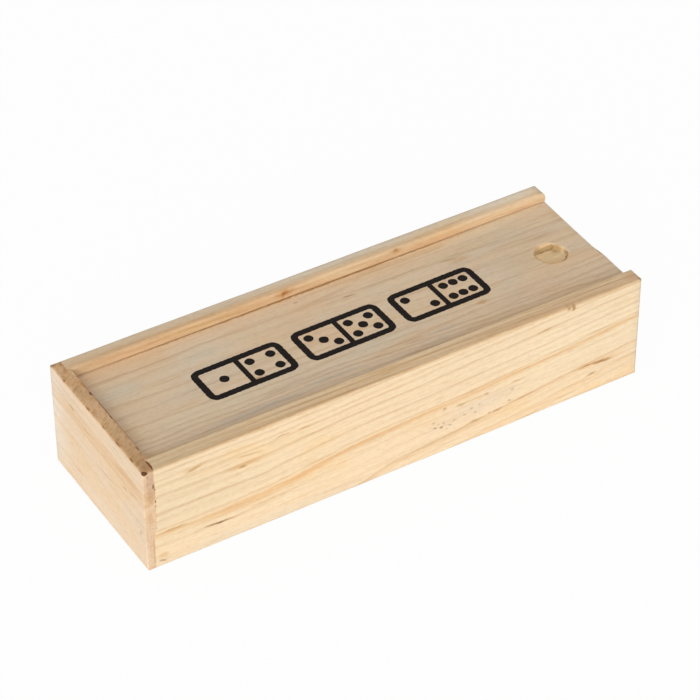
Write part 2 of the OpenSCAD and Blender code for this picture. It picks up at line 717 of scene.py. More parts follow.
STARVED_SPOTS = Pattern((0.9, 2.4, 2.4), 1.0, 17.0, levels=(0.72, 0.8))


def new_group(
    name: str, inputs: dict[str, Kind], outputs: dict[str, Kind]
) -> tuple[Tree, Graph, Sockets, Sockets]:
    """Starts a shader node group with named inputs and outputs.

    Args:
        name: name of the group.
        inputs: kind of each input.
        outputs: kind of each output.

    Returns:
        The tree, its graph, the inside ends of the inputs, and of the outputs.
    """
    tree = bpy.data.node_groups.new(name, "ShaderNodeTree")
    for label, kind in inputs.items():
        tree.interface.new_socket(label, in_out="INPUT", socket_type=kind.value)
    for label, kind in outputs.items():
        tree.interface.new_socket(label, in_out="OUTPUT", socket_type=kind.value)
    start, end = tree.nodes.new("NodeGroupInput"), tree.nodes.new("NodeGroupOutput")
    return tree, Graph(tree), {k: start.outputs[k] for k in inputs}, {k: end.inputs[k] for k in outputs}


# How squarely a face looks along the grain to count as end grain, and up to count as a sawn top.
END_LEVELS = (0.55, 0.85)
UP_LEVELS = (-0.45, -0.8)
# How much noise frays the broken corner, and the sums of distances at which it starts and is whole.
FRAYING = 0.16
BROKEN_LEVELS = (1.19, 1.11)


class PineEffects:
    """The node groups that every pine finish is made of, each built once."""

    def __init__(self) -> None:
        """Builds the groups."""
        self.board = self._board_space()
        self.rings = self._growth_rings()
        self.fibres = self._wood_fibres()
        self.bend = self._ring_bend()
        self.mark = self._mark()
        self.end = self._end_grain()
        self.sawn = self._saw_marks()
        self.broken = self._broken_corner()
        # Mask of the edges, both for wear and for painted edge shade and highlight.
        self.worn = self._wear_and_light_edges()

    def _board_space(self) -> Tree:
        """Position on the board: object position less the origin, measured along its three axes."""
        axes = ("Along axis", "Across axis", "Depth axis")
        wanted = {label: Kind.VECTOR for label in (*axes, "Origin")}
        tree, g, i, o = new_group("board_space", wanted, {"Board": Kind.VECTOR, "Facing": Kind.VECTOR})
        place = g.node("TexCoord")
        offset = g.vector("SUBTRACT", g.scaled(place.outputs["Object"], 1 / METRES), i["Origin"])
        for label, value in (("Board", offset), ("Facing", place.outputs["Normal"])):
            g.feed(o[label], g.join(*[g.vector("DOT_PRODUCT", value, i[axis]) for axis in axes]))
        return tree

    def _growth_rings(self) -> Tree:
        """Ring number in millimetres: across plus bend, lift, tilt and wave, over one less the fan."""
        numbers = ("From", "To", "Lift", "Fan", "Tilt", "Wave", "Ripple", "Bend", "Seed")
        inputs = {"Board": Kind.VECTOR, **{n: Kind.NUMBER for n in numbers}}
        tree, g, i, o = new_group("growth_rings", inputs, {"Ring": Kind.NUMBER})
        along, across, depth = g.split(i["Board"])
        run = g.span(along, i["From"], i["To"], soft=False)
        seeded = g.vector("ADD", i["Board"], g.join(i["Seed"], i["Seed"], i["Seed"]))
        slow, quick = (g.math("SUBTRACT", g.noise(seeded, wave), 0.5) for wave in (SLOW_WAVE, QUICK_WAVE))
        wave = g.math("MULTIPLY", g.math("MULTIPLY_ADD", quick, i["Ripple"], slow), i["Wave"])
        raised = g.math("MULTIPLY_ADD", run, i["Lift"], g.math("ADD", across, i["Bend"]))
        tilted = g.math("MULTIPLY_ADD", depth, i["Tilt"], raised)
        opened = g.math("SUBTRACT", 1.0, g.math("MULTIPLY", run, i["Fan"]))
        g.feed(o["Ring"], g.math("DIVIDE", g.math("ADD", tilted, wave), opened))
        return tree

    def _wood_fibres(self) -> Tree:
        """Long fine streaks, sparse short dark pores and slow cloudiness, all drawn out along the grain."""
        outputs = {n: Kind.NUMBER for n in ("Streak", "Flame", "Pore", "Cloud", "Fine")}
        tree, g, i, o = new_group("wood_fibres", {"Board": Kind.VECTOR, "Seed": Kind.NUMBER}, outputs)
        where = g.vector("ADD", i["Board"], g.join(i["Seed"], i["Seed"], i["Seed"]))
        patterns = (("Streak", STREAKS), ("Flame", FLAMES), ("Fine", FINE_FIBRES), ("Cloud", CLOUDS))
        for label, pattern in patterns:
            g.feed(o[label], g.noise(where, pattern))
        g.feed(o["Pore"], g.shown(where, PORES))
        return tree

    def _ring_bend(self) -> Tree:
        """Pushes the rings aside round one place: the rise times a soft ellipse, plus the bends before."""
        inputs = {label: Kind.VECTOR for label in ("Board", "Centre", "Radii")}
        inputs |= {label: Kind.NUMBER for label in ("Before", "Rise")}
        tree, g, i, o = new_group("ring_bend", inputs, {"Bend": Kind.NUMBER})
        offset = g.vector("DIVIDE", g.vector("SUBTRACT", i["Board"], i["Centre"]), i["Radii"])
        mask = g.span(g.vector("LENGTH", offset), 1.0, 0.0)
        g.feed(o["Bend"], g.math("MULTIPLY_ADD", mask, i["Rise"], i["Before"]))
        return tree

    def _mark(self) -> Tree:
        """Tints a colour inside a soft ellipsoid that lies along a slope.

        Distance is the length of the offset divided by the radii, the mask a
        smooth step from it, and the colour is multiplied by the tint there.
        """
        inputs = {label: Kind.COLOUR for label in ("Colour", "Tint")}
        inputs |= {label: Kind.VECTOR for label in ("Place", "Centre", "Radii")}
        inputs |= {label: Kind.NUMBER for label in ("Slope", "Softness")}
        tree, g, i, o = new_group("mark", inputs, {"Colour": Kind.COLOUR})
        along, across, depth = g.split(g.vector("SUBTRACT", i["Place"], i["Centre"]))
        level = g.math("SUBTRACT", across, g.math("MULTIPLY", along, i["Slope"]))
        reach = g.vector("LENGTH", g.vector("DIVIDE", g.join(along, level, depth), i["Radii"]))
        mask = g.span(reach, 1.0, g.math("SUBTRACT", 1.0, i["Softness"]))
        g.feed(o["Colour"], g.tinted(mask, i["Colour"], i["Tint"]))
        return tree

    def _end_grain(self) -> Tree:
        """Mask of faces cut across the grain, from how squarely the face looks along it, and its pores."""
        inputs = {"Board": Kind.VECTOR, "Facing": Kind.VECTOR}
        tree, g, i, o = new_group("end_grain", inputs, {"Mask": Kind.NUMBER, "Pore": Kind.NUMBER})
        along, _across, _depth = g.split(i["Facing"])
        g.feed(o["Mask"], g.span(g.math("ABSOLUTE", along), *END_LEVELS))
        g.feed(o["Pore"], g.shown(i["Board"], END_PORES))
        return tree

    def _saw_marks(self) -> Tree:
        """Rough stripes across an upper edge left by the saw, with a mask of the faces that look up."""
        inputs = {"Board": Kind.VECTOR, "Facing": Kind.VECTOR, "Skew": Kind.NUMBER}
        outputs = {label: Kind.NUMBER for label in ("Up", "Scratch", "Blotch")}
        tree, g, i, o = new_group("saw_marks", inputs, outputs)
        _along, across, _depth = g.split(i["Facing"])
        g.feed(o["Up"], g.span(across, *UP_LEVELS))
        along, level, depth = g.split(i["Board"])
        leaned = g.join(g.math("MULTIPLY_ADD", depth, i["Skew"], along), level, depth)
        g.feed(o["Scratch"], g.noise(leaned, SCRATCHES))
        g.feed(o["Blotch"], g.noise(leaned, BLOTCHES))
        return tree

    def _broken_corner(self) -> Tree:
        """Mask of a broken corner: where the distances from it, each over its leg, add up to about one."""
        inputs = {label: Kind.VECTOR for label in ("Board", "Corner", "Legs")}
        tree, g, i, o = new_group("broken_corner", inputs, {"Mask": Kind.NUMBER})
        gap = g.vector("ABSOLUTE", g.vector("SUBTRACT", i["Board"], i["Corner"]))
        shares = g.split(g.vector("DIVIDE", gap, i["Legs"]))
        frayed = (g.noise(i["Board"], RAGGED_BREAK), FRAYING)
        total = g.weighed(*[(share, 1.0) for share in shares], frayed)
        g.feed(o["Mask"], g.span(total, *BROKEN_LEVELS))
        return tree

    def _wear_and_light_edges(self) -> Tree:
        """Mask of edges, for wear and for painted edge shade and highlight: the stored nearness to an edge,
        broken up by noise.
        """
        tree, g, i, o = new_group("wear_and_light_edges", {"Board": Kind.VECTOR}, {"Worn": Kind.NUMBER})
        near = g.node("Attribute", attribute_name="arris").outputs["Fac"]
        g.feed(o["Worn"], g.math("MULTIPLY", near, g.shown(i["Board"], BROKEN_WEAR)))
        return tree


# --------------------------------------------------------------------------- finishes


@dataclass(frozen=True)
class RingLine:
    """A dark growth ring: its level, the width over which it comes and goes, and its tint."""

    level: float
    tint: Colour
    crisp: float = 0.22
    soft: float = 0.6

    def stops(self) -> list[tuple[float, Colour]]:
        """Its three ramp stops: plain wood, the line, and plain wood again."""
        return [(self.level - self.crisp, WHITE), (self.level, self.tint), (self.level + self.soft, WHITE)]


@dataclass(frozen=True)
class Mark:
    """A resin dash, knot, stain, worn place, painted shade or painted highlight on a board: a soft ellipsoid
    that tints the wood.
    """

    along: float
    across: float
    length: float
    breadth: float
    tint: Colour
    slope: float = 0.0
    depth: float = 0.0
    thickness: float = 1.6
    softness: float = 0.75


@dataclass(frozen=True)
class Bend:
    """A place where the rings are pushed up by the rise, fading over an ellipse."""

    along: float
    across: float
    length: float
    breadth: float
    rise: float


@dataclass(frozen=True)
class RingField:
    """How the rings run through a board."""

    start: float = 0.0
    end: float = 150.0
    lift: float = 0.0
    fan: float = 0.0
    tilt: float = 0.6
    wave: float = 1.5
    ripple: float = 0.3
    bends: tuple[Bend, ...] = ()
    low: float = -12.0
    high: float = 48.0


@dataclass(frozen=True)
class Veil:
    """A tint that comes in while a pattern runs from its low level to its high one."""

    low: float
    high: float
    tint: Colour

    def over(self, g: Graph, colour: Socket, pattern: Socket, strength: Feed) -> Socket:
        """Lays the tint over a colour.

        Args:
            g: the material's graph.
            colour: the colour so far.
            pattern: what lets the tint show.
            strength: how much of the tint comes in at most.

        Returns:
            The colour with the tint.
        """
        return g.tinted(g.math("MULTIPLY", g.span(pattern, self.low, self.high), strength), colour, self.tint)


@dataclass(frozen=True)
class Gloss:
    """How a surface shines, and the strength and height in metres of its relief."""

    specular: float
    strength: float
    height: float

    def shade(self, g: Graph, colour: Socket, roughness: Socket, relief: Socket) -> None:
        """Joins the parts of a material in its shader.

        Args:
            g: the material's graph.
            colour: colour of the surface.
            roughness: its roughness.
            relief: height of its fine relief.
        """
        shader, bump = g.node("BsdfPrincipled"), g.node("Bump")
        for socket, value in (
            (shader.inputs["Base Color"], colour),
            (shader.inputs["Roughness"], roughness),
            (shader.inputs["Specular IOR Level"], self.specular),
            (bump.inputs["Strength"], self.strength),
            (bump.inputs["Distance"], self.height),
            (bump.inputs["Height"], relief),
            (shader.inputs["Normal"], bump.outputs["Normal"]),
            (g.node("OutputMaterial").inputs["Surface"], shader.outputs["BSDF"]),
        ):
            g.feed(socket, value)


def new_material(name: str) -> tuple[bpy.types.Material, Graph]:
    """Starts an empty material.

    Args:
        name: name of the material.

    Returns:
        The material and its graph.
    """
    made = bpy.data.materials.new(name)
    made.use_nodes = True
    made.node_tree.nodes.clear()
    return made, Graph(made.node_tree)


def board_space(g: Graph, effects: PineEffects, cut: Cut) -> tuple[Socket, Socket]:
    """Position on a board and the way its surface faces, both along the board's own axes."""
    along, across, depth, origin = cut.value
    made = g.group(effects.board, Along_axis=along, Across_axis=across, Depth_axis=depth, Origin=origin)
    return made.outputs["Board"], made.outputs["Facing"]


PINE_GLOSS = Gloss(0.3, 0.28, 0.00012)
INK_GLOSS = Gloss(0.12, 0.25, 0.00008)
# Levels of the clouds between which the warm and the cool tint come in.
WARM_LEVELS = (0.5, 0.68)
COOL_LEVELS = (0.5, 0.3)
# Levels of the streaks and the strength of the rings at each.
RING_STRENGTH = (0.3, 0.62, 0.6, 1.0)
DARK_STREAKS = Veil(0.5, 0.75, (0.84, 0.74, 0.62))
DARK_FIBRES = Veil(0.48, 0.75, (0.88, 0.82, 0.74))
DARK_FLAMES = Veil(0.52, 0.72, (0.8, 0.7, 0.6))
DARK_MOTTLE = Veil(0.5, 0.66, (0.91, 0.88, 0.86))
PALE_MOTTLE = Veil(0.5, 0.34, (1.05, 1.06, 1.07))
DARK_BLOTCH = Veil(0.5, 0.64, (0.86, 0.80, 0.67))
ROSY_BLOTCH = Veil(0.48, 0.4, (1.08, 1.02, 1.04))
SCRATCH_LEVELS = (0.56, 0.74)
SCRATCH_TINT: Colour = (0.68, 0.56, 0.44)
# What dark rings and fibres add to the roughness, and the heights of rings, streaks, fibres,
# pores and scratches in the relief.
RING_POLISH = -0.3
FIBRE_ROUGHNESS = 0.16
RELIEF_WEIGHTS = (0.9, 0.35, 0.35, -0.25, -1.6)
PORE_TINT: Colour = (0.72, 0.6, 0.48)
PORE_STRENGTH = 0.45
END_PORE_SHADE = 0.72
END_PORE_STRENGTH = 0.5
# Marks narrower than this get ragged edges, which stray by the second number.
RAGGED_BELOW, RAGGED_BY = 3, 0.9
# How deep into the board a bend of the rings reaches.
BEND_DEPTH = 40.0
# Rings that one colour ramp holds, three stops each.
RINGS_PER_RAMP = 10


@dataclass(frozen=True)
class PineFinish:
    """Bare sanded pine: its colours, rings and marks, some marks being painted shade and painted highlights.
    """

    name: str
    cut: Cut
    base: Colour
    field: RingField
    lines: tuple[RingLine, ...]
    bands: tuple[RingLine, ...] = ()
    marks: tuple[Mark, ...] = ()
    warm: Colour = (1.0, 0.955, 0.88)
    cool: Colour = (0.955, 0.975, 1.0)
    top: Colour = (0.95, 0.92, 0.86)
    end: Colour = (0.84, 0.77, 0.74)
    # Edge tint: wear on every board, painted shade on the closed end's edges and a painted highlight on the
    # lid's.
    edge_wear_and_painted_light: Colour = (0.93, 0.86, 0.78)
    saw: float = 0.0
    blotch: float = 0.0
    skew: float = 0.6
    streak: float = 0.5
    flame: float = 0.3
    mottle: float = 0.4
    chip: Colour | None = None
    seed: float = 0.0
    roughness: float = 0.62

    def _ring_number(self, g: Graph, effects: PineEffects, board: Socket) -> Socket:
        """Ring number at every place on the board.

        Args:
            g: the material's graph.
            effects: the shared node groups.
            board: position on the board.

        Returns:
            The ring number in millimetres.
        """
        f = self.field
        bend: Feed = 0.0
        for b in f.bends:
            centre, radii = (b.along, b.across, 0.0), (b.length, b.breadth, BEND_DEPTH)
            made = g.group(effects.bend, Before=bend, Board=board, Centre=centre, Radii=radii, Rise=b.rise)
            bend = made.outputs["Bend"]
        run = {"From": f.start, "To": f.end, "Lift": f.lift, "Fan": f.fan, "Tilt": f.tilt, "Wave": f.wave}
        made = g.group(effects.rings, Board=board, Bend=bend, Seed=self.seed, Ripple=f.ripple, **run)
        return made.outputs["Ring"]

    def _ring_tint(self, g: Graph, ring: Socket, lines: Sequence[RingLine]) -> Socket:
        """Tint of the growth rings: ramps of a few rings each, multiplied.

        Args:
            g: the material's graph.
            ring: ring number in millimetres.
            lines: the rings in rising order.

        Returns:
            The tint.
        """
        share = g.span(ring, self.field.low, self.field.high, soft=False)
        width = self.field.high - self.field.low
        result: Socket | None = None
        for start in range(0, len(lines), RINGS_PER_RAMP):
            stops = [s for line in lines[start : start + RINGS_PER_RAMP] for s in line.stops()]
            tint = g.ramp(share, [((level - self.field.low) / width, colour) for level, colour in stops])
            result = tint if result is None else g.mix(1.0, result, tint, "MULTIPLY")
        return result

    def _grown(
        self, g: Graph, effects: PineEffects, board: Socket, fibre: Sockets
    ) -> tuple[Socket, Socket]:
        """Base colour with its clouds and growth rings.

        Args:
            g: the material's graph.
            effects: the shared node groups.
            board: position on the board.
            fibre: outputs of the fibres.

        Returns:
            The colour, and the tint of the rings alone.
        """
        colour = g.tinted(g.span(fibre["Cloud"], *WARM_LEVELS), self.base, self.warm)
        colour = g.tinted(g.span(fibre["Cloud"], *COOL_LEVELS), colour, self.cool)
        strength = g.span(fibre["Streak"], *RING_STRENGTH, soft=False)
        ring = self._ring_number(g, effects, board)
        rings = self._ring_tint(g, ring, self.lines)
        colour = g.tinted(strength, colour, rings)
        if self.bands:
            broad = self._ring_tint(g, ring, self.bands)
            colour = g.tinted(strength, colour, broad)
            rings = g.mix(1.0, rings, broad, "MULTIPLY")
        return colour, rings

    def _fibred(self, g: Graph, board: Socket, fibre: Sockets, colour: Socket) -> Socket:
        """Lays streaks, fibres, flames, pores and a fine mottle over the wood.

        Args:
            g: the material's graph.
            board: position on the board.
            fibre: outputs of the fibres.
            colour: the colour so far.

        Returns:
            The colour with them.
        """
        colour = DARK_STREAKS.over(g, colour, fibre["Streak"], self.streak)
        colour = DARK_FIBRES.over(g, colour, fibre["Fine"], self.streak)
        colour = DARK_FLAMES.over(g, colour, fibre["Flame"], self.flame)
        colour = g.tinted(g.math("MULTIPLY", fibre["Pore"], PORE_STRENGTH), colour, PORE_TINT)
        speck = g.noise(board, MOTTLE)
        for veil in (DARK_MOTTLE, PALE_MOTTLE):
            colour = veil.over(g, colour, speck, self.mottle)
        return colour

    def _marked(self, g: Graph, effects: PineEffects, board: Socket, colour: Socket) -> Socket:
        """Lays the marks over the wood, the narrow ones with ragged edges.

        Args:
            g: the material's graph.
            effects: the shared node groups.
            board: position on the board.
            colour: the colour so far.

        Returns:
            The colour with the marks.
        """
        rough = g.noise(board, MARK_EDGES)
        nudge = g.vector("SUBTRACT", g.join(rough, rough, 0.5), (0.5, 0.5, 0.5))
        ragged = g.vector("ADD", board, g.scaled(nudge, RAGGED_BY))
        for m in self.marks:
            colour = g.group(
                effects.mark,
                Colour=colour,
                Place=ragged if m.breadth < RAGGED_BELOW else board,
                Centre=(m.along, m.across, m.depth),
                Radii=(m.length, m.breadth, m.thickness),
                Slope=m.slope,
                Softness=m.softness,
                Tint=m.tint,
            ).outputs["Colour"]
        return colour

    def _cut_faces(
        self, g: Graph, effects: PineEffects, board: Socket, facing: Socket, colour: Socket
    ) -> tuple[Socket, Socket]:
        """Tints end grain, the sawn face that looks up, the edges with wear, painted shade and painted
        highlight, and a broken corner.

        Args:
            g: the material's graph.
            effects: the shared node groups.
            board: position on the board.
            facing: the way the surface faces.
            colour: the colour so far.

        Returns:
            The colour, and the mask of the saw's scratches.
        """
        cross = g.group(effects.end, Board=board, Facing=facing).outputs
        pored = tuple(part * END_PORE_SHADE for part in self.end)
        grain = g.mix(g.math("MULTIPLY", cross["Pore"], END_PORE_STRENGTH), self.end, pored)
        colour = g.tinted(cross["Mask"], colour, grain)
        saw = g.group(effects.sawn, Board=board, Facing=facing, Skew=self.skew).outputs
        up = saw["Up"]
        colour = g.tinted(up, colour, self.top)
        scratch = g.math("MULTIPLY", g.span(saw["Scratch"], *SCRATCH_LEVELS), self.saw)
        scratch = g.math("MULTIPLY", scratch, up)
        colour = g.tinted(scratch, colour, SCRATCH_TINT)
        for veil in (DARK_BLOTCH, ROSY_BLOTCH):
            colour = veil.over(g, colour, saw["Blotch"], g.math("MULTIPLY", up, self.blotch))
        # Edge tint: wear, with painted shade on the closed end's edges and a painted highlight on the lid's.
        colour = g.tinted(g.group(effects.worn, Board=board).outputs["Worn"], colour, self.edge_wear_and_painted_light)
        if self.chip:
            corner = (2 * BOX.half_width, 0.0, 0.0)
            broken = g.group(effects.broken, Board=board, Corner=corner, Legs=CHIP_LEGS)
            colour = g.tinted(broken.outputs["Mask"], colour, self.chip)
        return colour, scratch

    def material(self, effects: PineEffects) -> bpy.types.Material:
        """Builds the wood, with dark rings smoother and higher than the wood between them.

        Args:
            effects: the shared node groups.

        Returns:
            The material.
        """
        made, g = new_material(self.name)
        board, facing = board_space(g, effects, self.cut)
        fibre = g.group(effects.fibres, Board=board, Seed=self.seed).outputs
        colour, rings = self._grown(g, effects, board, fibre)
        colour = self._marked(g, effects, board, self._fibred(g, board, fibre, colour))
        colour, scratch = self._cut_faces(g, effects, board, facing, colour)
        dark = g.math("SUBTRACT", 1.0, g.brightness(rings))
        fine = fibre["Fine"]
        rather = g.weighed((dark, RING_POLISH), start=self.roughness)
        roughness = g.weighed((fine, FIBRE_ROUGHNESS), start=rather, clamp=True)
        parts = (dark, fibre["Streak"], fine, fibre["Pore"], scratch)
        PINE_GLOSS.shade(g, colour, roughness, g.weighed(*zip(parts, RELIEF_WEIGHTS)))
        return made


@dataclass(frozen=True)
class InkFinish:
    """Near-black printing ink that lets a little of the wood's grain through."""

    name: str = "printing_ink"
    ink: Colour = (0.0105, 0.0075, 0.0065)
    thin: Colour = (0.03, 0.022, 0.018)
    bare: Colour = (0.16, 0.11, 0.07)
    starving: float = 0.4
    roughness: float = 0.7
    seed: float = 4.0

    def material(self, effects: PineEffects) -> bpy.types.Material:
        """Builds the ink: two blacks mixed along the fibres, with small starved spots.

        Args:
            effects: the shared node groups.

        Returns:
            The material.
        """
        made, g = new_material(self.name)
        board, _facing = board_space(g, effects, Cut.LID)
        fibre = g.group(effects.fibres, Board=board, Seed=self.seed).outputs
        fine = fibre["Fine"]
        colour = g.mix(g.span(fine, 0.5, 0.72), self.ink, self.thin)
        starved = g.math("MULTIPLY", g.shown(board, STARVED_SPOTS), self.starving)
        colour = g.mix(starved, colour, self.bare)
        roughness = g.weighed((fine, 0.2), start=self.roughness)
        INK_GLOSS.shade(g, colour, roughness, g.math("ADD", fine, fibre["Streak"]))
        return made


def rings(*rows: tuple) -> tuple[RingLine, ...]:
    """Rings from rows of level, tint and widths."""
    return tuple(RingLine(*row) for row in rows)


def spots(*rows: tuple, **shared: float) -> tuple[Mark, ...]:
    """Marks from rows of along, across, length, breadth, tint and slope, with what they share."""
    return tuple(Mark(*row, **shared) for row in rows)


PALE_LINE: Colour = (0.95, 0.91, 0.86)
STRAW_LINE: Colour = (0.88, 0.81, 0.73)
HONEY_LINE: Colour = (0.82, 0.71, 0.6)
RESIN: Colour = (0.66, 0.54, 0.42)
BROWN_GAP: Colour = (0.26, 0.18, 0.12)
GREY_SPECK: Colour = (0.6, 0.56, 0.52)

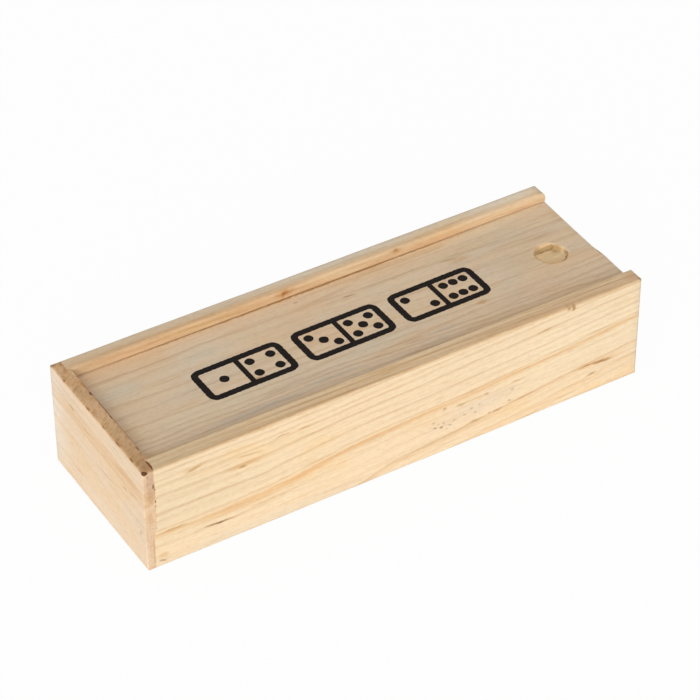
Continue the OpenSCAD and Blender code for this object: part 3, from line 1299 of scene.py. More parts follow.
FRONT_PINE = PineFinish(
    name="pine_front",
    cut=Cut.FRONT,
    base=(0.935, 0.738, 0.495),
    field=RingField(
        start=35,
        end=148,
        lift=3.5,
        fan=0.28,
        tilt=1.15,
        wave=1.0,
        ripple=0.5,
        bends=(
            Bend(64, 17, 36, 13, 1.5),
            Bend(56, 31, 20, 6, -2.2),
            Bend(16, 24, 20, 6, -0.5),
            Bend(118, 8, 20, 8, -0.5),
        ),
    ),
    lines=rings(
        (-3.4, PALE_LINE, 0.4, 0.7),
        (-1.6, STRAW_LINE, 0.35, 0.7),
        (0.3, PALE_LINE, 0.4, 0.6),
        (1.8, STRAW_LINE, 0.3, 0.7),
        (3.9, (0.89, 0.81, 0.72), 0.35, 0.8),
        (5.8, (0.87, 0.79, 0.7), 0.35, 0.9),
        (9.1, (0.84, 0.75, 0.66), 0.4, 1.1),
        (11.8, PALE_LINE, 0.6, 0.9),
        (14.8, (0.83, 0.74, 0.65), 0.4, 1.0),
        (17.6, PALE_LINE, 0.5, 0.9),
        (25.0, (0.94, 0.89, 0.83), 0.5, 0.9),
        (28.4, (0.97, 0.94, 0.9), 0.5, 1.0),
        (33.0, HONEY_LINE, 0.3, 1.0),
        (36.2, PALE_LINE, 0.4, 0.9),
        (38.9, STRAW_LINE, 0.3, 1.0),
        (42.0, STRAW_LINE, 0.3, 0.8),
    ),
    bands=rings(
        (20.1, (0.87, 0.765, 0.64), 0.5, 0.55),
        (21.3, (0.925, 0.79, 0.64), 0.6, 2.4),
        (34.0, (0.96, 0.88, 0.79), 0.8, 1.6),
        (40.0, (0.97, 0.9, 0.82), 0.8, 1.8),
    ),
    marks=spots(
        # Short resin streaks, specks and the grime of the handled edges.
        (8, 21.3, 5.0, 0.6, (0.82, 0.7, 0.56)),
        (14.0, 4.5, 3.1, 0.5, (0.8, 0.7, 0.58), -0.2),
        (14.2, 4.4, 5.0, 1.0, (0.93, 0.86, 0.78), -0.2),
        (30, 7.0, 5.5, 0.42, (0.82, 0.72, 0.61), 0.09),
        (27.8, 10.1, 1.6, 0.65, (0.68, 0.57, 0.46)),
        (28.5, 9.5, 7.5, 1.3, (0.9, 0.81, 0.7)),
        (20.2, 25.3, 7.0, 0.5, (0.56, 0.46, 0.36), 0.06),
        (20.7, 25.4, 2.8, 0.36, (0.7, 0.68, 0.68), 0.06),
        (138.0, 23.0, 4.6, 0.6, (0.55, 0.43, 0.31), 0.07),
        (133, 22.6, 3.6, 0.4, (0.74, 0.62, 0.48), -0.1),
        (137, 22.8, 10.0, 1.3, (0.94, 0.84, 0.73), 0.02),
        (134.8, 26.0, 2.2, 0.45, RESIN, -0.1),
        (119, 4.7, 3.2, 0.36, (0.82, 0.72, 0.62), -0.08),
        (39.5, 5.0, 3.2, 0.44, (0.8, 0.7, 0.6), -0.03),
        (46, 5.3, 3.0, 0.36, (0.86, 0.77, 0.68), 0.03),
        (93.2, 18.5, 2.6, 0.6, (0.72, 0.62, 0.44)),
        (97.5, 18.3, 4.5, 0.5, (0.88, 0.79, 0.64)),
        (88.0, 17.8, 1.0, 0.5, (0.76, 0.64, 0.48)),
        (101.0, 18.3, 1.1, 0.5, (0.74, 0.66, 0.54)),
        (110.8, 18.0, 2.8, 0.42, (0.82, 0.74, 0.6)),
        (97.5, 25.9, 3.6, 0.5, (0.74, 0.67, 0.54), -0.05),
        (104.5, 25.3, 2.4, 0.6, (0.76, 0.69, 0.6), -0.05),
        (113.0, 24.4, 5.0, 0.45, (0.85, 0.78, 0.7), -0.07),
        (4.2, 30.3, 1.4, 0.45, (0.62, 0.5, 0.38), 0.2),
        (4.6, 28.6, 2.2, 1.2, (0.93, 0.82, 0.68)),
        (84.6, 21.2, 0.8, 0.5, (0.76, 0.71, 0.66)),
        (85.1, 23.1, 0.8, 0.5, GREY_SPECK, 0.3),
        (87.0, 23.5, 0.85, 0.55, (0.5, 0.46, 0.42)),
        (86.2, 22.2, 0.45, 0.4, (0.74, 0.7, 0.64)),
        (87.9, 22.5, 0.6, 0.45, (0.68, 0.62, 0.56), -0.4),
        (89.7, 23.9, 0.9, 0.4, (0.66, 0.61, 0.56), 0.3),
        (91.0, 22.9, 0.6, 0.4, (0.78, 0.72, 0.66)),
        (88.7, 24.7, 0.5, 0.3, (0.78, 0.72, 0.66)),
        (94.2, 22.4, 0.6, 0.4, (0.76, 0.7, 0.64)),
        (96.4, 21.2, 0.8, 0.45, (0.76, 0.72, 0.68)),
        (97.6, 23.0, 0.8, 0.55, (0.7, 0.62, 0.58)),
        (98.9, 21.0, 0.6, 0.4, (0.74, 0.7, 0.66)),
        (102.0, 25.2, 0.7, 0.4, (0.66, 0.6, 0.54)),
        (109.2, 20.3, 0.8, 0.5, (0.72, 0.69, 0.66)),
        (108.4, 23.7, 0.8, 0.4, (0.72, 0.66, 0.6)),
    )
    + spots(
        # Long soft veils of paler and darker wood.
        (128, 12, 46, 13, (1.03, 1.055, 1.07)),
        (70, 17.8, 13, 1.1, (0.92, 0.85, 0.76), -0.1),
        (138, 13.1, 22, 1.4, (0.925, 0.86, 0.785), -0.09),
        (97, 21.5, 24, 4.4, (0.945, 0.955, 1.02), -0.08),
        (99, 15.7, 38, 1.6, (0.945, 0.87, 0.79), -0.055),
        (30, 31.5, 66, 4.5, (0.92, 0.945, 0.99)),
        softness=1.0,
    )
    + spots(
        # Flames of late wood, less soft at their rims.
        (28, 22.6, 19, 2.2, (0.945, 0.85, 0.745)),
        (46, 20.6, 13, 1.3, (0.945, 0.86, 0.77), -0.15),
        (60, 18.2, 16, 0.9, (0.93, 0.85, 0.76), -0.1),
        (36, 24.2, 15, 0.55, (0.935, 0.87, 0.79), -0.12),
        softness=0.9,
    )
    + spots(
        # A chip in the rail with its dirt, and a gap in the joint.
        (126.3, 0.5, 0.9, 0.9, (0.62, 0.54, 0.45)),
        (127.9, 0.9, 1.0, 1.5, (0.58, 0.5, 0.4)),
        (127.0, 0.4, 2.8, 1.6, (0.93, 0.87, 0.79)),
        (2.75, 18.8, 0.45, 0.4, (0.6, 0.48, 0.4)),
        softness=0.8,
    )
    + spots(
        # Shadow of the joint with the closed end.
        (3.0, 11.8, 0.24, 0.35, (0.4, 0.32, 0.26)),
        (2.95, 12, 0.26, 9, (0.84, 0.78, 0.72)),
        (2.1, 27, 0.28, 8, (0.78, 0.72, 0.68)),
        softness=0.6,
    )
    + (
        # Painted shade: the left part of the front face a little darker.
        Mark(0, 12, 50, 26, (0.94, 0.95, 0.94), thickness=60, softness=1.0),
        Mark(3.2, 0.3, 0.42, 1.4, (0.42, 0.22, 0.11), depth=2.5, thickness=2.2, softness=0.4),
        Mark(149.7, 0.1, 1.2, 0.9, (0.5, 0.44, 0.4), depth=0.5, thickness=1.1),
        Mark(147.8, 0.0, 3.6, 1.2, (0.93, 0.875, 0.86), depth=2.4, thickness=3.4, softness=0.8),
        Mark(133, 0.0, 18, 0.9, (0.88, 0.83, 0.79), depth=2.9, thickness=0.45),
        Mark(138, 0.0, 12, 0.9, (0.87, 0.82, 0.79), depth=4.2, thickness=0.35),
        Mark(2.95, 6.3, 0.28, 1.0, BROWN_GAP, softness=0.5),
        Mark(2.97, 10.1, 0.26, 0.5, BROWN_GAP, softness=0.4),
        Mark(75, 0, 110, 1.3, (0.87, 0.81, 0.75), depth=2.9, thickness=0.4),
        Mark(45, 0, 60, 1.0, (0.86, 0.79, 0.71), depth=0.85, thickness=0.65),
        Mark(122, 0, 44, 1.3, (0.92, 0.84, 0.79), depth=1.5, thickness=1.3),
        # Painted highlight: a light line along the rail's top next to its inner edge.
        Mark(60, 0, 110, 1.3, (1.04, 1.05, 1.06), depth=4.1, thickness=0.8),
        Mark(75, 0.3, 90, 0.6, (0.92, 0.89, 0.85), depth=0.0, thickness=0.8, softness=0.6),
        Mark(140, 0.3, 18, 0.9, (0.88, 0.84, 0.78), depth=0.0, thickness=1.0, softness=0.8),
    ),
    warm=(1.0, 0.955, 0.87),
    cool=(0.99, 0.995, 1.0),
    top=(0.96, 0.9, 0.83),
    streak=0.36,
    flame=0.26,
    seed=2.0,
)

BACK_PINE = PineFinish(
    name="pine_back",
    cut=Cut.BACK,
    base=(0.9, 0.69, 0.44),
    field=RingField(start=10, end=150, lift=-2.4, fan=-0.06, tilt=0.9, wave=1.8),
    lines=rings(
        (-2.0, STRAW_LINE),
        (1.2, PALE_LINE, 0.4, 0.8),
        (3.4, (0.98, 0.965, 0.945), 0.6, 1.0),
        (5.6, (0.965, 0.935, 0.9), 0.8, 1.3),
        (8.4, STRAW_LINE, 0.3, 0.8),
        (11.3, HONEY_LINE, 0.3, 1.0),
        (14.6, STRAW_LINE, 0.3, 0.8),
        (18.2, HONEY_LINE, 0.3, 1.1),
        (21.5, PALE_LINE),
        (24.4, STRAW_LINE, 0.3, 0.9),
        (28.0, HONEY_LINE, 0.3, 0.9),
        (31.5, STRAW_LINE),
        (35.0, STRAW_LINE),
    ),
    bands=rings(
        (4.6, (0.77, 0.65, 0.56), 3.6, 5.5),
        (19.0, (0.93, 0.82, 0.7), 1.5, 3.0),
    ),
    marks=spots(
        (67, 1.0, 1.4, 0.9, (0.74, 0.61, 0.48)),
        (66.4, 1.6, 0.7, 1.6, (0.82, 0.68, 0.55)),
        (67, 1.2, 4.2, 1.5, (0.86, 0.74, 0.6)),
        (101.5, 0.8, 0.9, 0.6, (0.74, 0.62, 0.5)),
        (101.5, 1.0, 2.6, 1.0, (0.86, 0.76, 0.62)),
        depth=5.0,
    )
    + spots(
        (84, 1.6, 14, 3.0, (1.08, 1.16, 1.22)),
        (42, 1.6, 28, 3.0, (0.93, 0.93, 0.87)),
        (4, 1.5, 10, 3.0, (1.07, 1.16, 1.24)),
        depth=5.0,
        thickness=3.0,
        softness=1.0,
    )
    + spots(
        (48, 19, 3.0, 1.6, (0.62, 0.46, 0.32)),
        (48, 19, 8.0, 3.0, (0.88, 0.76, 0.62)),
        (118, 12, 4.0, 0.5, RESIN, 0.05),
    )
    + (
        # Painted highlights: the back rail's top made paler and bluer along its length, at its right end and
        # over its right half.
        Mark(75, -0.9, 110, 1.8, (1.01, 1.14, 1.38), depth=1.8, thickness=2.8, softness=0.6),
        Mark(143, -0.9, 36, 1.8, (1.06, 1.17, 1.32), depth=1.8, thickness=2.8, softness=0.9),
        Mark(128, 1.0, 44, 4.5, (1.05, 1.11, 1.19), depth=4.0, thickness=4.0, softness=1.0),
        Mark(75, 1.2, 130, 3.4, (0.965, 0.955, 0.945), depth=5.0, thickness=1.2, softness=0.6),
        Mark(72, 0.0, 120, 1.4, (1.01, 0.965, 0.905), depth=3.7, thickness=1.9, softness=1.0),
        # Painted highlights: a lighter line along the rail's inner edge and a paler, bluer top at its right
        # end.
        Mark(75, 0.0, 130, 0.9, (1.09, 1.075, 1.055), depth=4.4, thickness=1.6, softness=1.0),
        Mark(144, 0.0, 34, 2.0, (1.06, 1.075, 1.12), depth=2.6, thickness=2.8, softness=1.0),
        Mark(110, 0.3, 20, 0.9, (0.88, 0.87, 0.86), depth=4.4, thickness=1.2),
        Mark(3.0, 13, 0.35, 22, (0.66, 0.55, 0.45), thickness=2.5),
    ),
    top=(0.985, 0.965, 0.96),
    edge_wear_and_painted_light=(0.985, 0.965, 0.94),
    streak=0.3,
    flame=0.2,
    seed=17.0,
)

CLOSED_END_PINE = PineFinish(
    name="pine_closed_end",
    cut=Cut.CLOSED_END,
    base=(0.935, 0.728, 0.513),
    field=RingField(start=0, end=50, lift=-2.6, tilt=0.8, wave=1.6),
    lines=rings(
        (-4.5, STRAW_LINE, 0.4, 0.8),
        (-1.2, PALE_LINE, 0.4, 0.8),
        (2.2, (0.97, 0.94, 0.91), 0.6, 1.1),
        (4.6, (0.95, 0.9, 0.84), 0.7, 1.3),
        (8.7, (0.93, 0.87, 0.8), 0.7, 1.4),
        (12.5, (0.97, 0.93, 0.89), 0.7, 1.2),
        (15.8, (0.95, 0.9, 0.85), 0.6, 1.0),
        (19.4, (0.98, 0.96, 0.94), 0.7, 1.0),
        (25.0, (0.98, 0.96, 0.94), 0.8, 1.2),
        (30.0, (0.97, 0.94, 0.91), 0.8, 1.2),
    ),
    bands=rings((6.6, (0.93, 0.865, 0.79), 2.6, 3.4)),
    marks=spots(
        (12, 6.0, 1.9, 0.55, (0.82, 0.74, 0.64), 0.05),
        (20, 8.5, 3.8, 0.5, (0.86, 0.78, 0.69), 0.06),
        (42, 7.6, 9.5, 1.5, (0.94, 0.86, 0.79), -0.03),
        (40, 12.3, 2.2, 0.5, (0.84, 0.73, 0.62), -0.2),
        (44, 11.5, 3.0, 0.5, (0.9, 0.8, 0.7), -0.2),
        (30, 15.5, 7.0, 0.5, (0.9, 0.81, 0.74), -0.03),
        (10.5, 19, 0.8, 0.7, (0.88, 0.82, 0.76)),
        (14, 26, 3.0, 0.8, (0.94, 0.86, 0.79)),
        (47.5, 21.3, 0.7, 1.2, (0.82, 0.73, 0.64), -0.5),
    )
    + spots(
        (21, 0.2, 1.6, 0.6, (0.55, 0.42, 0.3)),
        (29.5, 0.2, 1.2, 0.6, (0.62, 0.48, 0.34)),
        (37, 0.2, 2.2, 0.6, (0.6, 0.46, 0.33)),
        (44, 0.2, 1.4, 0.6, (0.52, 0.4, 0.28)),
        depth=0.35,
        thickness=0.4,
    )
    + (
        Mark(26, 26, 34, 14, (1.01, 1.035, 1.07), softness=1.0),
        Mark(2, 14, 9, 30, (1.04, 1.14, 1.3), softness=1.0),
        Mark(23, 0, 7.5, 0.8, (0.34, 0.22, 0.14), depth=4.0, thickness=0.42, softness=0.5),
        Mark(12.5, 0, 3.4, 1.5, (0.8, 0.66, 0.52), depth=4.0, thickness=1.0, softness=0.8),
        Mark(16.2, 0, 0.9, 0.8, (0.22, 0.14, 0.09), depth=3.85, thickness=0.6, softness=0.5),
        Mark(33, 0, 13, 0.8, (0.55, 0.42, 0.3), depth=4.0, thickness=0.36, softness=0.6),
        Mark(27, 0, 1.2, 0.8, (0.38, 0.26, 0.17), depth=3.85, thickness=0.5, softness=0.6),
        Mark(41, 0, 1.1, 0.8, (0.55, 0.42, 0.3), depth=3.7, thickness=0.5, softness=0.6),
        Mark(8, 0.2, 1.0, 0.6, (0.6, 0.45, 0.32), depth=0.35, thickness=0.5),
        Mark(1.0, 0.2, 1.3, 0.8, (0.62, 0.52, 0.46), depth=0.6, thickness=1.4),
        Mark(48.6, 0.1, 2.0, 0.8, (0.82, 0.76, 0.72), depth=1.6, thickness=2.2, softness=0.8),
        Mark(50.5, 1.5, 0.6, 0.4, (0.6, 0.46, 0.36), depth=1.2, thickness=0.35),
        Mark(44, 0.0, 13, 1.2, (0.8, 0.79, 0.72), depth=2.0, thickness=5.0, softness=1.0),
        Mark(33, 0.0, 6, 1.2, (0.9, 0.92, 0.86), depth=2.0, thickness=5.0, softness=1.0),
        Mark(6, 0.0, 2.5, 1.0, (1.16, 1.3, 1.48), depth=3.6, thickness=1.3, softness=0.8),
        Mark(6, 0.0, 3.0, 1.0, (0.9, 0.89, 0.86), depth=0.7, thickness=1.2),
        Mark(15.3, 0.0, 1.6, 1.0, (0.8, 0.84, 0.84), depth=3.3, thickness=0.9),
        Mark(14.5, 0.0, 3.6, 1.0, (0.84, 0.85, 0.82), depth=1.0, thickness=2.2, softness=0.8),
        # Painted shade that tones down the light on the rounded upright corner by the front.
        Mark(50.2, 16, 0.8, 24, (0.9, 0.87, 0.84), depth=0.3, thickness=0.9, softness=0.9),
        Mark(50.2, 27, 0.8, 9, (0.96, 0.98, 1.02), depth=0.3, thickness=2.0),
        Mark(50.3, 4.0, 1.6, 6.0, (0.86, 0.83, 0.86), depth=2.0, thickness=2.8),
        Mark(50.5, 8.5, 1.4, 3.0, (0.9, 0.87, 0.78), depth=1.8, thickness=1.8),
        Mark(50.5, 15.0, 1.4, 3.0, (0.92, 0.87, 0.78), depth=1.5, thickness=1.4),
        Mark(50.5, 5.2, 1.2, 1.1, BROWN_GAP, depth=2.68, thickness=0.24, softness=0.4),
        Mark(50.5, 26.0, 0.9, 8.0, (0.82, 0.76, 0.72), depth=2.0, thickness=0.35),
    ),
    top=(0.835, 0.695, 0.54),
    end=(0.9, 0.84, 0.8),
    # Darker edges: wear, and painted shade that tones down the light on the rounded corners.
    edge_wear_and_painted_light=(0.87, 0.79, 0.7),
    saw=0.45,
    blotch=1.0,
    chip=(0.2, 0.12, 0.07),
    streak=0.22,
    flame=0.16,
    seed=31.0,
    roughness=0.66,
)

LOW_END_PINE = PineFinish(
    name="pine_low_end",
    cut=Cut.LOW_END,
    base=(0.92, 0.715, 0.475),
    field=RingField(start=0, end=50, lift=2.0, tilt=1.0, wave=1.6),
    lines=rings(
        (5.0, STRAW_LINE),
        (8.0, HONEY_LINE, 0.3, 1.0),
        (12.0, STRAW_LINE, 0.3, 0.9),
        (15.5, STRAW_LINE, 0.3, 0.9),
        (19.5, HONEY_LINE, 0.3, 1.1),
        (23.0, STRAW_LINE, 0.3, 0.9),
        (26.5, STRAW_LINE, 0.3, 0.9),
        (30.0, HONEY_LINE, 0.3, 1.0),
    ),
    marks=(Mark(18, 17, 3.0, 0.45, RESIN, slope=0.05),),
    seed=53.0,
)

BOTTOM_PINE = PineFinish(
    name="pine_bottom",
    cut=Cut.BOTTOM,
    base=(0.9, 0.705, 0.47),
    field=RingField(start=0, end=150, lift=3.0, fan=0.1, tilt=2.0, wave=3.0),
    lines=rings(
        (2.0, STRAW_LINE, 0.4, 1.2),
        (7.0, HONEY_LINE, 0.4, 1.6),
        (12.0, STRAW_LINE, 0.4, 1.4),
        (18.0, HONEY_LINE, 0.5, 2.0),
        (25.0, STRAW_LINE, 0.5, 2.0),
        (31.0, HONEY_LINE, 0.4, 1.4),
        (36.0, STRAW_LINE, 0.4, 1.2),
        (41.0, HONEY_LINE, 0.4, 1.2),
    ),
    marks=(
        Mark(60, 18, 4.0, 2.0, (0.6, 0.44, 0.3)),
        Mark(60, 18, 11.0, 4.0, (0.86, 0.74, 0.6)),
    ),
    seed=71.0,
)

LID_PINE = PineFinish(
    name="pine_lid",
    cut=Cut.LID,
    base=(0.9, 0.695, 0.478),
    field=RingField(start=60, end=145, lift=-3.2, fan=-0.03, tilt=0.9, wave=1.8, ripple=0.8),
    lines=rings(
        (2.2, (0.97, 0.95, 0.93), 0.5, 1.0),
        (5.6, (0.88, 0.83, 0.78), 0.45, 1.1),
        (9.4, (0.95, 0.92, 0.89), 0.6, 1.2),
        (13.0, (0.95, 0.92, 0.88), 0.6, 1.2),
        (17.0, (0.95, 0.92, 0.89), 0.6, 1.0),
        (20.9, (0.91, 0.86, 0.81), 0.45, 1.0),
        (23.8, (0.96, 0.93, 0.9), 0.5, 1.0),
        (26.0, (0.89, 0.83, 0.77), 0.4, 0.9),
        (28.6, (0.93, 0.88, 0.83), 0.4, 0.8),
        (30.8, (0.86, 0.79, 0.72), 0.35, 0.7),
        (32.6, (0.82, 0.75, 0.68), 0.3, 0.6),
        (34.3, (0.86, 0.8, 0.74), 0.3, 0.6),
        (36.1, (0.84, 0.77, 0.71), 0.3, 0.6),
        (37.9, STRAW_LINE, 0.25, 0.6),
    ),
    marks=spots(
        # Broad soft clouds.
        (36, 8.5, 20, 6.5, (0.97, 1.025, 1.08)),
        (30, 29.5, 26, 5.0, (0.98, 1.035, 1.06)),
        (78, 29.0, 16, 3.6, (0.97, 1.02, 1.05)),
        (12, 12, 9, 5, (0.95, 1.03, 1.1)),
        (70, 6.0, 14, 3.0, (1.0, 0.975, 0.96)),
        (125, 13.0, 24, 9.0, (0.99, 0.96, 0.94)),
        (115, 1.5, 56, 3.0, (1.05, 1.08, 1.06)),
        (60, 29, 12, 4.0, (1.06, 1.05, 1.04)),
        (128, 30.0, 20, 7.0, (0.99, 0.96, 0.95)),
        (130.5, 20.0, 12, 7.0, (0.99, 0.95, 0.89)),
        (137, 19.0, 20, 17.0, (0.995, 0.98, 0.955)),
        (118, 6.5, 26, 3.5, (0.96, 0.94, 0.89)),
        (141, 12.4, 8, 2.2, (0.92, 0.88, 0.87)),
        softness=1.0,
    )
    + spots(
        (82, 7.9, 2.5, 0.45, (0.72, 0.62, 0.54), 0.08),
        (79, 8.4, 9.0, 1.0, (0.93, 0.88, 0.84), 0.05),
        (68.5, 3.0, 1.0, 0.5, (0.74, 0.66, 0.56)),
        (44.5, 25.2, 1.5, 0.7, (0.64, 0.48, 0.36)),
        (44.5, 25.2, 3.6, 1.3, (0.9, 0.82, 0.76)),
        (110.5, 28.6, 2.4, 1.0, (0.84, 0.68, 0.52)),
        (104, 16.8, 5.0, 1.0, (0.95, 0.88, 0.8)),
        (115.5, 10.0, 5.0, 1.5, (0.92, 0.82, 0.7)),
        (113, 8.6, 3.6, 0.5, (0.84, 0.74, 0.62), 0.1),
        (87, 33.4, 5.0, 0.5, (0.82, 0.75, 0.7), 0.06),
    )
    + spots(
        # Painted shade: a dark line along the lid's back edge against the back rail. Then painted highlights
        # that lighten the notch's near rim.
        (71, 0.25, 80, 0.55, (0.66, 0.52, 0.35)),
        (133.5, 21.7, 0.5, 1.2, (1.18, 1.18, 1.17)),
        (134.9, 23.8, 1.3, 0.5, (1.24, 1.23, 1.21), 1.0),
        (137.0, 24.9, 1.7, 0.45, (1.2, 1.19, 1.17), 0.25),
        softness=0.7,
    )
    + spots(
        (38, 35.7, 23, 2.0, (0.84, 0.9, 0.99)),
        (60, 34.4, 12, 1.4, (0.9, 0.94, 0.99)),
        (96, 33.0, 8.0, 1.3, (0.9, 0.94, 1.0)),
        softness=0.9,
    )
    + (
        # Painted shade and painted highlights in the thumb notch: the shaded far wall with a dark line at its
        # foot, dark patches at both sides, a dark crescent at the right and lighter patches on the floor; the
        # last mark makes the whole notch warmer and lighter.
        Mark(
            136.8, 18.0, 3.8, 0.34, (0.7, 0.6, 0.46),
            slope=-0.12, depth=0.9, thickness=1.2, softness=0.7,
        ),
        Mark(
            138.4, 17.35, 5.2, 1.05, (0.62, 0.575, 0.48),
            slope=-0.1, depth=1.2, thickness=1.35, softness=0.35,
        ),
        Mark(135.9, 16.9, 1.8, 0.7, (0.72, 0.68, 0.62), slope=-0.25, depth=0.6, thickness=0.8, softness=0.6),
        Mark(141.0, 18.7, 2.6, 2.5, (0.62, 0.56, 0.46), depth=0.8, thickness=1.2, softness=0.7),
        Mark(135.2, 19.8, 1.8, 1.0, (1.14, 1.12, 1.08), depth=0.5, thickness=1.0, softness=0.8),
        Mark(139.2, 21.7, 2.0, 1.2, (1.12, 1.09, 1.06), depth=0.5, thickness=1.0, softness=0.8),
        Mark(134.1, 18.3, 0.7, 0.6, (0.66, 0.58, 0.42), depth=0.8, thickness=1.0, softness=0.8),
        Mark(141.9, 21.6, 0.6, 1.5, (0.5, 0.42, 0.32), depth=0.3, thickness=1.0, softness=0.7),
        Mark(141.2, 23.2, 0.9, 0.8, (0.48, 0.41, 0.33), slope=-0.9, depth=0.3, thickness=1.0, softness=0.7),
        Mark(139.9, 24.4, 1.5, 0.6, (0.54, 0.47, 0.38), slope=-0.55, depth=0.3, thickness=0.9, softness=0.7),
        Mark(138, 20.5, 4.6, 4.6, (1.095, 1.01, 0.82), depth=0.9, thickness=40, softness=0.15),
    ),
    warm=(1.0, 0.95, 0.88),
    cool=(0.94, 0.985, 1.03),
    top=WHITE,
    end=(0.74, 0.64, 0.5),
    # Lighter edges and notch rim: partly worn wood, partly a painted highlight.
    edge_wear_and_painted_light=(1.07, 1.06, 1.0),
    streak=0.28,
    flame=0.5,
    seed=5.0,
)


# --------------------------------------------------------------------------- boards


@dataclass
class Board:
    """One board of the box: a named piece that stands for a node of the frame."""

    name: str
    node: str
    body: str
    slot: str
    finish: PineFinish
    piece: bpy.types.Object | None = field(default=None, repr=False)

    def grid(self) -> Array:
        """Outlines of the board in order, rows by points by X, Y, Z in millimetres."""
        raise NotImplementedError

    def build(self) -> None:
        """Makes the board's mesh."""
        self.piece = swept(self.name, self.grid())

    def dress(self, effects: PineEffects) -> None:
        """Gives the board its pine."""
        self.piece.data.materials.append(self.finish.material(effects))

    def place(self) -> None:
        """Ties the board to its body and hides the part of its node."""
        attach(self.piece, self.body)
        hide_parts(self.node)


@dataclass
class SideBoard(Board):
    """A long side board with the lid's groove, the bottom's rebate and the low end's housing.

    Its outline in Y and Z is carried along X.
    """

    side: Side = Side.FRONT
    joint_gap: float = 0.1
    slot_width: float = 0.34
    slot_depth: float = 0.75
    rail_opening: tuple[float, ...] = (20.7, 21.0, 24.7, 25.0)
    high_opening: tuple[float, ...] = (25.0, 25.6, 27.4, 28.0)
    low_opening: tuple[float, ...] = (21.2, 21.5, 22.2, 22.6)
    face_share: float = 0.4
    low_share: float = 0.8

    def _outline(self) -> Array:
        """Outline of the board for a positive Y, seen along X."""
        back = self.side is Side.BACK
        rail = BOX.back_rail_radius if back else BOX.front_rail_radius
        arris = BOX.back_inner_radius if back else BOX.inner_radius
        inner, wide, deep = BOX.inner_half_width, BOX.groove_half_width, BOX.rebate_half_width
        return outline(
            (
                Corner(BOX.half_width, 0, BOX.edge_radius),
                Corner(BOX.half_width, BOX.height, rail, 7),
                Corner(inner, BOX.height, arris, 5),
                Corner(inner, BOX.groove_top, 0.12, 2),
                Corner(wide, BOX.groove_top),
                Corner(wide, BOX.low_end_top),
                Corner(inner, BOX.low_end_top, 0.15, 2),
                Corner(inner, BOX.bottom_top),
                Corner(deep, BOX.bottom_top),
                Corner(deep, 0, 0.12, 2),
            )
        )

    def _open_joint(self, y: Array, z: Array) -> Array:
        """How far the joint stands open: over the rail and at two places down the front face.

        Args:
            y: distance from the middle of the box.
            z: height.

        Returns:
            A share from zero to one.
        """
        if self.side is Side.BACK:
            return np.zeros_like(y)
        over = smooth(z, 31.9, 32.2) * window(y, *self.rail_opening)
        down = smooth(y, 24.3, 24.8)
        high, low = window(z, *self.high_opening), window(z, *self.low_opening)
        return np.maximum(over, self.face_share * down * np.maximum(high, self.low_share * low))

    def grid(self) -> Array:
        """The outline at each station, cleared for the housing at the open end and eased at the joint."""
        edge = BOX.shoulder
        close = (edge + 0.1, edge + 0.9, edge + 1.7)
        doubled = (BOX.inner_right, BOX.inner_right, BOX.rebate_right, BOX.rebate_right)
        xs = stations(edge, BOX.half_length, 2.0, (*close, *doubled), (BOX.half_length,))
        x, y, z = carried(xs, self._outline())
        order = np.arange(len(xs))[:, None]
        after_floor = order > np.searchsorted(xs, BOX.inner_right)
        after_rebate = order > np.searchsorted(xs, BOX.rebate_right)
        wall = (z <= BOX.low_end_top) & (z >= BOX.bottom_top) & (y < BOX.housing_half_width)
        y = np.where(after_floor & wall, BOX.housing_half_width, y)
        foot = (z <= BOX.bottom_top) & (y > BOX.housing_half_width) & (y <= BOX.rebate_half_width)
        y = np.where(after_rebate & foot, BOX.housing_half_width, y)
        opened = self._open_joint(y, z)
        x = np.where(order == 1, x + (self.slot_width - self.joint_gap) * opened, x)
        ease = np.where(order == 0, self.joint_gap + self.slot_depth * opened, 0)
        skin = BOX.half_width - 0.8
        y = np.where(y > skin, y - ease * smooth(y, skin, BOX.half_width - 0.1), y)
        z = z - ease * smooth(z, BOX.height - 0.8, BOX.height - 0.1)
        if self.side is Side.FRONT:
            x = x - BOX.joint(z) * (1 - smooth(x, edge, edge + 4.0))
        return sanded(np.stack([x, y * self.side.value, z], axis=-1))


